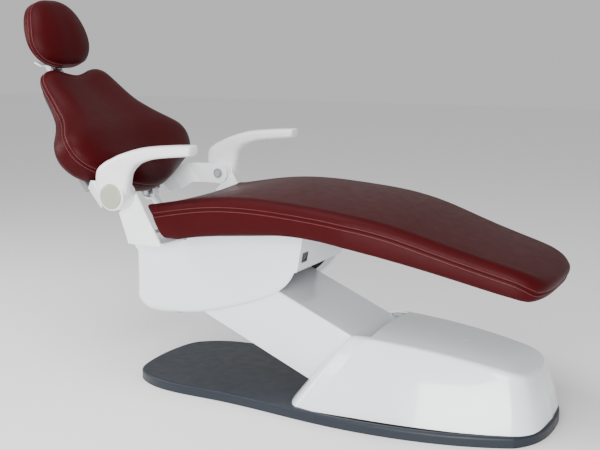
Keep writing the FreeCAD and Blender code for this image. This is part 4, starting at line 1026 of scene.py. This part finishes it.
def cover_loop(points, bow, inset):
    """A whole cover plan, counter-clockwise from the bow's middle."""
    side, front = half_loop(points, bow)
    left = list(reversed(side[:-1]))
    near = [Vector((point.x, -point.y)) for point in side]
    near_front = [Vector((point.x, -point.y)) for point in reversed(front)]
    loop = [point * MM for point in near_front + near + left + front[:-1]]
    if inset:
        loop = [point + normal * inset for point, normal in zip(loop, inward(loop))]
    return loop


def cover_form(name, inset, bottom, top_line, material):
    """The base cover's outside, or its inside when drawn in by the skin."""
    foot = cover_loop(COVER_FOOT, COVER_BOW_FOOT, inset)
    edge = cover_loop(COVER_TOP, COVER_BOW_TOP, inset)
    inside = inward(edge)
    round_over = 13.0 * MM - inset

    def top_at(point):
        crown = clamp(1.0 - (abs(point.y) / (165.0 * MM)) ** 2) * (1.0 - ease(point.x, 540.0 * MM, 622.0 * MM))
        return top_line(point.x) + 10.0 * MM * crown - inset

    def upper(point):
        return Vector((point.x, point.y, top_at(point)))

    lows = [Vector((point.x, point.y, bottom)) for point in foot]
    highs = [upper(point) for point in edge]
    rings = []
    for step in range(15):
        share = step / 14.0
        row = []
        for low, high, normal in zip(lows, highs, inside):
            reach = 1.0 - round_over / max((high - low).length, 0.02)
            point = low.lerp(high, share * reach)
            swell = 5.0 * MM * math.sin(math.pi * share)
            row.append(point - Vector((normal.x, normal.y, 0.0)) * swell)
        rings.append(row)
    for step in range(1, 9):
        share = step / 8.0
        row = []
        for start, high, normal, point in zip(rings[14], highs, inside, edge):
            end = upper(point + normal * round_over)
            row.append(start * (1.0 - share) ** 2 + high * 2.0 * share * (1.0 - share) + end * share ** 2)
        rings.append(row)
    flat = [Vector((corner.x, corner.y)) for corner in rings[-1]]
    for step in range(1, 15):
        share = 1.0 - step / 14.0
        row = []
        for point in flat:
            spine = Vector((clamp(point.x, 250.0 * MM, 520.0 * MM), 0.0))
            row.append(upper(spine.lerp(point, share)))
        rings.append(row)
    corners = [corner for row in rings for corner in row]
    faces = ring_faces(rings)
    faces.append(tuple(reversed(range(len(foot)))))
    return new_piece(name, corners, faces, material)


def build_base_cover():
    """The white cover over the base: leaning walls, a soft top edge and an opening for the lift arm."""
    material = finish_for("white_shell")
    solid = Solid("base_cover")
    bottom = solid.low.z
    samples = []
    for x in (110.0, 160.0, 230.0, 320.0, 420.0, 520.0, 600.0):
        beside = 158.0 if x < 170.0 else 60.0
        samples.append((x * MM, solid.seen((x * MM, beside * MM, 1.0), (0, 0, -1)).z))
    samples.insert(0, (-100.0 * MM, samples[0][1] + 2.0 * MM))
    samples.append((634.0 * MM, samples[-1][1] - 13.0 * MM))
    top_line = curve_through(samples)
    cover = cover_form("base_cover_moulding", 0.0, bottom, top_line, material)
    inner = cover_form("base_cover_inside", SKIN, bottom - 8.0 * MM, top_line, material)
    carve(cover, inner)
    arm_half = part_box("arm_cover")[1].y + ARM_OPENING_GAP
    notch = block("notch", (-0.3, -arm_half, 55.0 * MM), (168.0 * MM, arm_half, 0.6))
    carve(cover, notch)
    sharpen(cover, 28.0)
    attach(cover, "base")
    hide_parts("base_cover")


# ---------------------------------------------------------------- hinge pins, switch, frames

def bolt_head(name, centre, direction, radius, material):
    """A round flanged head with a deep turned ring round a slightly domed button."""
    profile = [(radius, 0.0), (radius, 3.0 * MM), (radius - 1.0 * MM, 4.0 * MM), (0.84 * radius, 4.2 * MM),
               (0.8 * radius, 3.8 * MM), (0.79 * radius, 0.6 * MM), (0.69 * radius, 0.6 * MM),
               (0.68 * radius, 5.2 * MM), (0.64 * radius, 6.0 * MM), (0.4 * radius, 6.5 * MM),
               (0.02 * radius, 6.7 * MM)]
    piece = lathe(name, profile, centre, direction, material)
    sharpen(piece, 35.0)
    return piece


def build_hinge_pins():
    """The two backrest hinge pins: a plain shaft and a turned, painted head each."""
    material = finish_for("steel_pin")
    paint = finish_named("finish_bolt", painted_steel, bpy.context.scene.chair_colours.bolt)
    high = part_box("hinge_pins")[1]
    head_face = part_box("back_arm_left")[1].y - 11.0 * MM
    pieces = []
    for sign in (-1.0, 1.0):
        centre = Vector((HUB.x, sign * head_face, HUB.z))
        head = bolt_head("hinge_head_" + ("right" if sign < 0.0 else "left"), centre, (0.0, -sign, 0.0),
                         17.5 * MM, paint)
        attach(head, "seat")
        radius = 12.0 * MM
        length = high.y - head_face
        profile = [(radius - 1.0 * MM, 0.0), (radius, 1.0 * MM), (radius, length - 1.5 * MM),
                   (radius - 1.5 * MM, length)]
        pieces.append(lathe("hinge_shaft", profile, centre, (0.0, sign, 0.0), material))
    pins = joined("hinge_pin_set", pieces)
    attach(pins, "seat")
    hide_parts("hinge_pins")


HOUSING_FRONT_SLOPE = 0.176
ROCKER_HALF_HEIGHT = 9.3 * MM
ROCKER_DEPTH = 5.0 * MM


def rocker_face(u, t):
    """Height of the rocker's face in millimetres: dished, tipped up at its top end, with soft edges."""
    return 1.4 + 0.9 * t - 0.9 * (1.0 - t * t) - 0.5 * abs(u) ** 6 - 0.5 * abs(t) ** 8


def build_switch():
    """The rocker switch: a soft-edged frame, a rocker dished at both ends and a plain green light bar."""
    colours = bpy.context.scene.chair_colours
    frame_piece = rounded_copy("switch_bezel", 0.5 * MM, finish_for("switch_black"))
    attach(frame_piece, "seat")
    low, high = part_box("power_switch")
    lean = Matrix.Rotation(math.atan(HOUSING_FRONT_SLOPE), 4, "Y")
    place = Matrix.Translation(JOINTS["power_switch_rock"]["pos_m"]) @ lean
    half_y = 0.5 * (high.y - low.y)
    rows, columns = 16, 8
    across = columns + 1
    corners, faces = [], []
    for front in (True, False):
        for i in range(rows + 1):
            t = -1.0 + 2.0 * i / rows
            for j in range(across):
                u = -1.0 + 2.0 * j / columns
                depth = rocker_face(u, t) * MM if front else -ROCKER_DEPTH
                corners.append(place @ Vector((depth, u * half_y, t * ROCKER_HALF_HEIGHT)))
    back = len(corners) // 2
    for i in range(rows):
        for j in range(columns):
            a = i * across + j
            b = a + across
            faces.append((a, a + 1, b + 1, b))
            faces.append((back + a, back + b, back + b + 1, back + a + 1))
    border = (list(range(columns)) + [i * across + columns for i in range(rows)]
              + [rows * across + j for j in range(columns, 0, -1)] + [i * across for i in range(rows, 0, -1)])
    for a, b in zip(border, border[1:] + border[:1]):
        faces.append((a, back + a, back + b, b))
    rocker = new_piece("switch_rocker", corners, faces, finish_for("switch_black"))
    sharpen(rocker, 40.0)
    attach(rocker, "power_switch")
    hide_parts("power_switch")
    light = finish_named("finish_switch_green", gloss_plastic, colours.indicator, 0.2, 0.3)
    bar = lathe("switch_light", [(2.2 * MM, 0.0), (2.6 * MM, 0.3 * MM), (2.4 * MM, 0.9 * MM), (1.2 * MM, 1.2 * MM)],
                Vector((0, 0, 0)), (1, 0, 0), light, 24)
    bar.data.transform(place @ Matrix.Translation((0.55 * MM, 0.0, -0.1 * MM))
                       @ Matrix.Diagonal((1.0, 2.4, 1.0, 1.0)))
    tidy_mesh(bar.data, 1e-6)
    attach(bar, "power_switch")


# Edge rounding of the sub-parts whose CAD shape is kept, in millimetres.
EDGE_ROUNDS = {
    "arm_cover": 1.6, "hinge_bracket_right": 1.2, "hinge_bracket_left": 1.2, "back_arm_right": 1.5,
    "back_arm_left": 1.5, "back_frame": 1.5, "back_lugs": 0.8, "headrest_socket": 1.0, "headrest_bar": 0.8,
    "headrest_link": 1.0, "headrest_lower_joint": 0.8, "headrest_upper_joint": 0.8, "headrest_lever": 1.0,
    "seat_frame": 1.5, "seat_board": 1.5, "back_board": 2.5, "headrest_board": 2.5,
    "back_actuator_hanger": 0.8, "lift_arm_plate_right": 0.8, "lift_arm_plate_left": 0.8,
    "clevis_plate_right": 0.8, "clevis_plate_left": 0.8, "upper_link": 1.2, "ram_bracket": 0.8,
    "seat_cheek_right": 0.8, "seat_cheek_left": 0.8,
}


def body_of_node(node):
    for body, members in frame["record"]["behaviour"]["bodies"].items():
        if node in members:
            return body
    raise RuntimeError("no body holds " + node)


def build_frames():
    """Rounded, painted or moulded copies of the plates, tubes and boards."""
    for node, width in EDGE_ROUNDS.items():
        slot = NODE_SLOTS[node]
        piece = rounded_copy(node, width * MM, finish_for(slot))
        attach(piece, body_of_node(node))


def dress_nodes():
    """Give every CAD sub-part that still shows its own finish."""
    for node, item in frame["nodes"].items():
        if item.hide_render:
            continue
        material = finish_for(NODE_SLOTS[node])
        item.data.materials.clear()
        item.data.materials.append(material)


# ---------------------------------------------------------------- stage

def area_light(name, place, target, size, energy):
    data = bpy.data.lights.new(name, "AREA")
    data.shape = "RECTANGLE"
    data.size, data.size_y = size
    data.energy = energy
    light = bpy.data.objects.new(name, data)
    light.location = place
    light.rotation_euler = (Vector(target) - Vector(place)).to_track_quat("-Z", "Y").to_euler()
    bpy.context.scene.collection.objects.link(light)


def build_stage():
    """Camera, pale floor, soft lamps and an even sky."""
    stage = bpy.context.scene.chair_stage
    data = bpy.data.cameras.new("camera")
    data.lens = stage.lens
    data.sensor_width = 36.0
    camera = bpy.data.objects.new("camera", data)
    camera.location = stage.camera_place
    camera.rotation_euler = (0.5 * math.pi - stage.camera_pitch, 0.0, stage.camera_turn)
    bpy.context.scene.collection.objects.link(camera)
    bpy.context.scene.camera = camera
    reach = 14.0
    corners = [(-reach, -reach, 0.0), (reach, -reach, 0.0), (reach, reach, 0.0), (-reach, reach, 0.0)]
    floor = new_piece("floor", corners, [(0, 1, 2, 3)], floor_finish("finish_floor", stage.floor), False)
    floor.location.z = -0.2 * MM
    world = bpy.data.worlds.new("sky")
    world.use_nodes = True
    sky = world.node_tree.nodes["Background"]
    sky.inputs["Color"].default_value = (1.0, 1.0, 1.0, 1.0)
    sky.inputs["Strength"].default_value = stage.sky
    bpy.context.scene.world = world
    area_light("overhead", (-0.6, -1.2, 3.4), (-0.2, 0.0, 0.5), (2.2, 1.6), stage.overhead)
    area_light("side_fill", (1.3, -4.2, 1.5), (0.0, 0.0, 0.5), (3.0, 2.0), stage.side_fill)
    area_light("head_rim", (-3.0, -1.4, 1.6), (-0.6, 0.0, 0.7), (1.4, 1.4), stage.head_rim)


# ---------------------------------------------------------------- settings, operators and panel

def colour_setting(name, description, default):
    return bpy.props.FloatVectorProperty(name=name, description=description, subtype="COLOR", size=3,
                                         min=0.0, max=1.0, default=default)


class ChairColours(bpy.types.PropertyGroup):
    leather: colour_setting("Leather", "Upholstery leather", (0.040, 0.0011, 0.0022))
    thread: colour_setting("Thread", "Sewing thread of the seams", (0.30, 0.085, 0.09))
    shell: colour_setting("Shell", "Base cover and housing", (0.80, 0.83, 0.86))
    armrest: colour_setting("Armrest", "Armrest mouldings", (0.80, 0.80, 0.81))
    cap: colour_setting("Hub cap", "Caps over the armrest hubs", (0.34, 0.34, 0.28))
    paint: colour_setting("Paint", "Brackets, back arms and lift arm cover", (0.80, 0.82, 0.84))
    plate: colour_setting("Base plate", "Base plate cover and bumper strip", (0.015, 0.019, 0.027))
    board: colour_setting("Boards", "Boards behind the cushions", (0.016, 0.016, 0.018))
    switch: colour_setting("Switch", "Rocker switch and its frame", (0.008, 0.009, 0.009))
    indicator: colour_setting("Switch light", "Light bar on the rocker", (0.01, 0.16, 0.06))
    bolt: colour_setting("Bolt heads", "Painted heads of the hinge pins", (0.34, 0.34, 0.36))
    lever: colour_setting("Lever", "Headrest lever", (0.55, 0.56, 0.57))
    actuator: colour_setting("Actuators", "Bodies and motors of the two actuators", (0.35, 0.36, 0.37))
    frame_paint: colour_setting("Frame paint", "Hidden steel frames", (0.16, 0.165, 0.17))


class ChairSizes(bpy.types.PropertyGroup):
    stitch_length: bpy.props.FloatProperty(name="Stitch length", description="Length of one stitch",
                                           default=4.6 * MM, unit="LENGTH", min=0.001)
    stitch_gap: bpy.props.FloatProperty(name="Stitch gap", description="Leather between two stitches",
                                        default=2.0 * MM, unit="LENGTH", min=0.0005)
    thread_radius: bpy.props.FloatProperty(name="Thread radius", description="Half of the thread's thickness",
                                           default=0.65 * MM, unit="LENGTH", min=0.0002)
    row_spread: bpy.props.FloatProperty(name="Row spread", description="Each stitch row's distance from the seam",
                                        default=6.2 * MM, unit="LENGTH", min=0.001)


class ChairStage(bpy.types.PropertyGroup):
    camera_place: bpy.props.FloatVectorProperty(name="Camera", description="Where the camera stands",
                                                subtype="TRANSLATION", size=3, default=(1.2691, -2.7647, 1.1))
    camera_turn: bpy.props.FloatProperty(name="Camera turn", description="Camera heading from +Y",
                                         subtype="ANGLE", default=math.radians(27.09))
    camera_pitch: bpy.props.FloatProperty(name="Camera pitch", description="How far the camera looks down",
                                          subtype="ANGLE", default=math.radians(10.43))
    lens: bpy.props.FloatProperty(name="Lens", description="Focal length on a 36 mm sensor", default=60.0,
                                  unit="CAMERA")
    floor: colour_setting("Floor", "The floor", (0.94, 0.94, 0.94))
    sky: bpy.props.FloatProperty(name="Sky", description="Strength of the even sky", default=0.62, min=0.0)
    overhead: bpy.props.FloatProperty(name="Overhead lamp", description="Power of the soft lamp above",
                                      default=70.0, unit="POWER", min=0.0)
    side_fill: bpy.props.FloatProperty(name="Side lamp", description="Power of the soft lamp beside the camera",
                                       default=300.0, unit="POWER", min=0.0)
    head_rim: bpy.props.FloatProperty(name="Head lamp", description="Power of the soft lamp at the head end",
                                      default=60.0, unit="POWER", min=0.0)


class MakeStage(bpy.types.Operator):
    """Set up the camera, the floor and the lamps"""
    bl_idname = "dental_chair.stage"
    bl_label = "Stage"

    def execute(self, context):
        build_stage()
        return {"FINISHED"}


class MakeSeat(bpy.types.Operator):
    """Upholster the seat cushion"""
    bl_idname = "dental_chair.seat"
    bl_label = "Seat cushion"

    def execute(self, context):
        upholster(seat_pad(), "seat_cushion", "seat_cushion", "seat")
        return {"FINISHED"}


class MakeBack(bpy.types.Operator):
    """Upholster the backrest cushion"""
    bl_idname = "dental_chair.back"
    bl_label = "Backrest cushion"

    def execute(self, context):
        upholster(back_pad(), "back_cushion", "back_cushion", "backrest")
        return {"FINISHED"}


class MakeHeadrest(bpy.types.Operator):
    """Upholster the headrest cushion"""
    bl_idname = "dental_chair.headrest"
    bl_label = "Headrest cushion"

    def execute(self, context):
        upholster(head_pad(), "headrest_cushion", "headrest_cushion", "headrest")
        return {"FINISHED"}


class MakeArmrests(bpy.types.Operator):
    """Mould the two armrests and their hub caps"""
    bl_idname = "dental_chair.armrests"
    bl_label = "Armrests"

    def execute(self, context):
        build_armrests()
        return {"FINISHED"}


class MakeHousing(bpy.types.Operator):
    """Mould the housing under the seat"""
    bl_idname = "dental_chair.housing"
    bl_label = "Housing"

    def execute(self, context):
        build_housing()
        return {"FINISHED"}


class MakeBaseCover(bpy.types.Operator):
    """Mould the cover over the base"""
    bl_idname = "dental_chair.base_cover"
    bl_label = "Base cover"

    def execute(self, context):
        build_base_cover()
        return {"FINISHED"}


class MakeHingePins(bpy.types.Operator):
    """Turn the backrest hinge pins"""
    bl_idname = "dental_chair.hinge_pins"
    bl_label = "Hinge pins"

    def execute(self, context):
        build_hinge_pins()
        return {"FINISHED"}


class MakeSwitch(bpy.types.Operator):
    """Make the power switch"""
    bl_idname = "dental_chair.switch"
    bl_label = "Power switch"

    def execute(self, context):
        build_switch()
        return {"FINISHED"}


class MakeFrames(bpy.types.Operator):
    """Round and paint the plates, tubes and boards"""
    bl_idname = "dental_chair.frames"
    bl_label = "Frames and boards"

    def execute(self, context):
        build_frames()
        return {"FINISHED"}


class DressNodes(bpy.types.Operator):
    """Give the remaining sub-parts their finishes"""
    bl_idname = "dental_chair.dress"
    bl_label = "Finishes"

    def execute(self, context):
        dress_nodes()
        return {"FINISHED"}


STEPS = (MakeStage, MakeSeat, MakeBack, MakeHeadrest, MakeArmrests, MakeHousing, MakeBaseCover, MakeHingePins,
         MakeSwitch, MakeFrames, DressNodes)


class ChairPanel(bpy.types.Panel):
    """Settings and making steps of the dental chair"""
    bl_idname = "VIEW3D_PT_dental_chair"
    bl_label = "Dental Chair"
    bl_space_type = "VIEW_3D"
    bl_region_type = "UI"
    bl_category = "Dental Chair"

    def draw(self, context):
        layout = self.layout
        for group in (context.scene.chair_colours, context.scene.chair_sizes, context.scene.chair_stage):
            column = layout.column(align=True)
            for setting in group.__annotations__:
                column.prop(group, setting)
        for step in STEPS:
            layout.operator(step.bl_idname)


GROUPS = (("chair_colours", ChairColours), ("chair_sizes", ChairSizes), ("chair_stage", ChairStage))


def register():
    for name, group in GROUPS:
        bpy.utils.register_class(group)
        setattr(bpy.types.Scene, name, bpy.props.PointerProperty(type=group))
    for item in STEPS + (ChairPanel,):
        bpy.utils.register_class(item)


def unregister():
    for item in reversed(STEPS + (ChairPanel,)):
        bpy.utils.unregister_class(item)
    for name, group in reversed(GROUPS):
        delattr(bpy.types.Scene, name)
        bpy.utils.unregister_class(group)


def main():
    register()
    for step in STEPS:
        module, operator = step.bl_idname.split(".")
        getattr(getattr(bpy.ops, module), operator)()


if __name__ == "__main__":
    main()
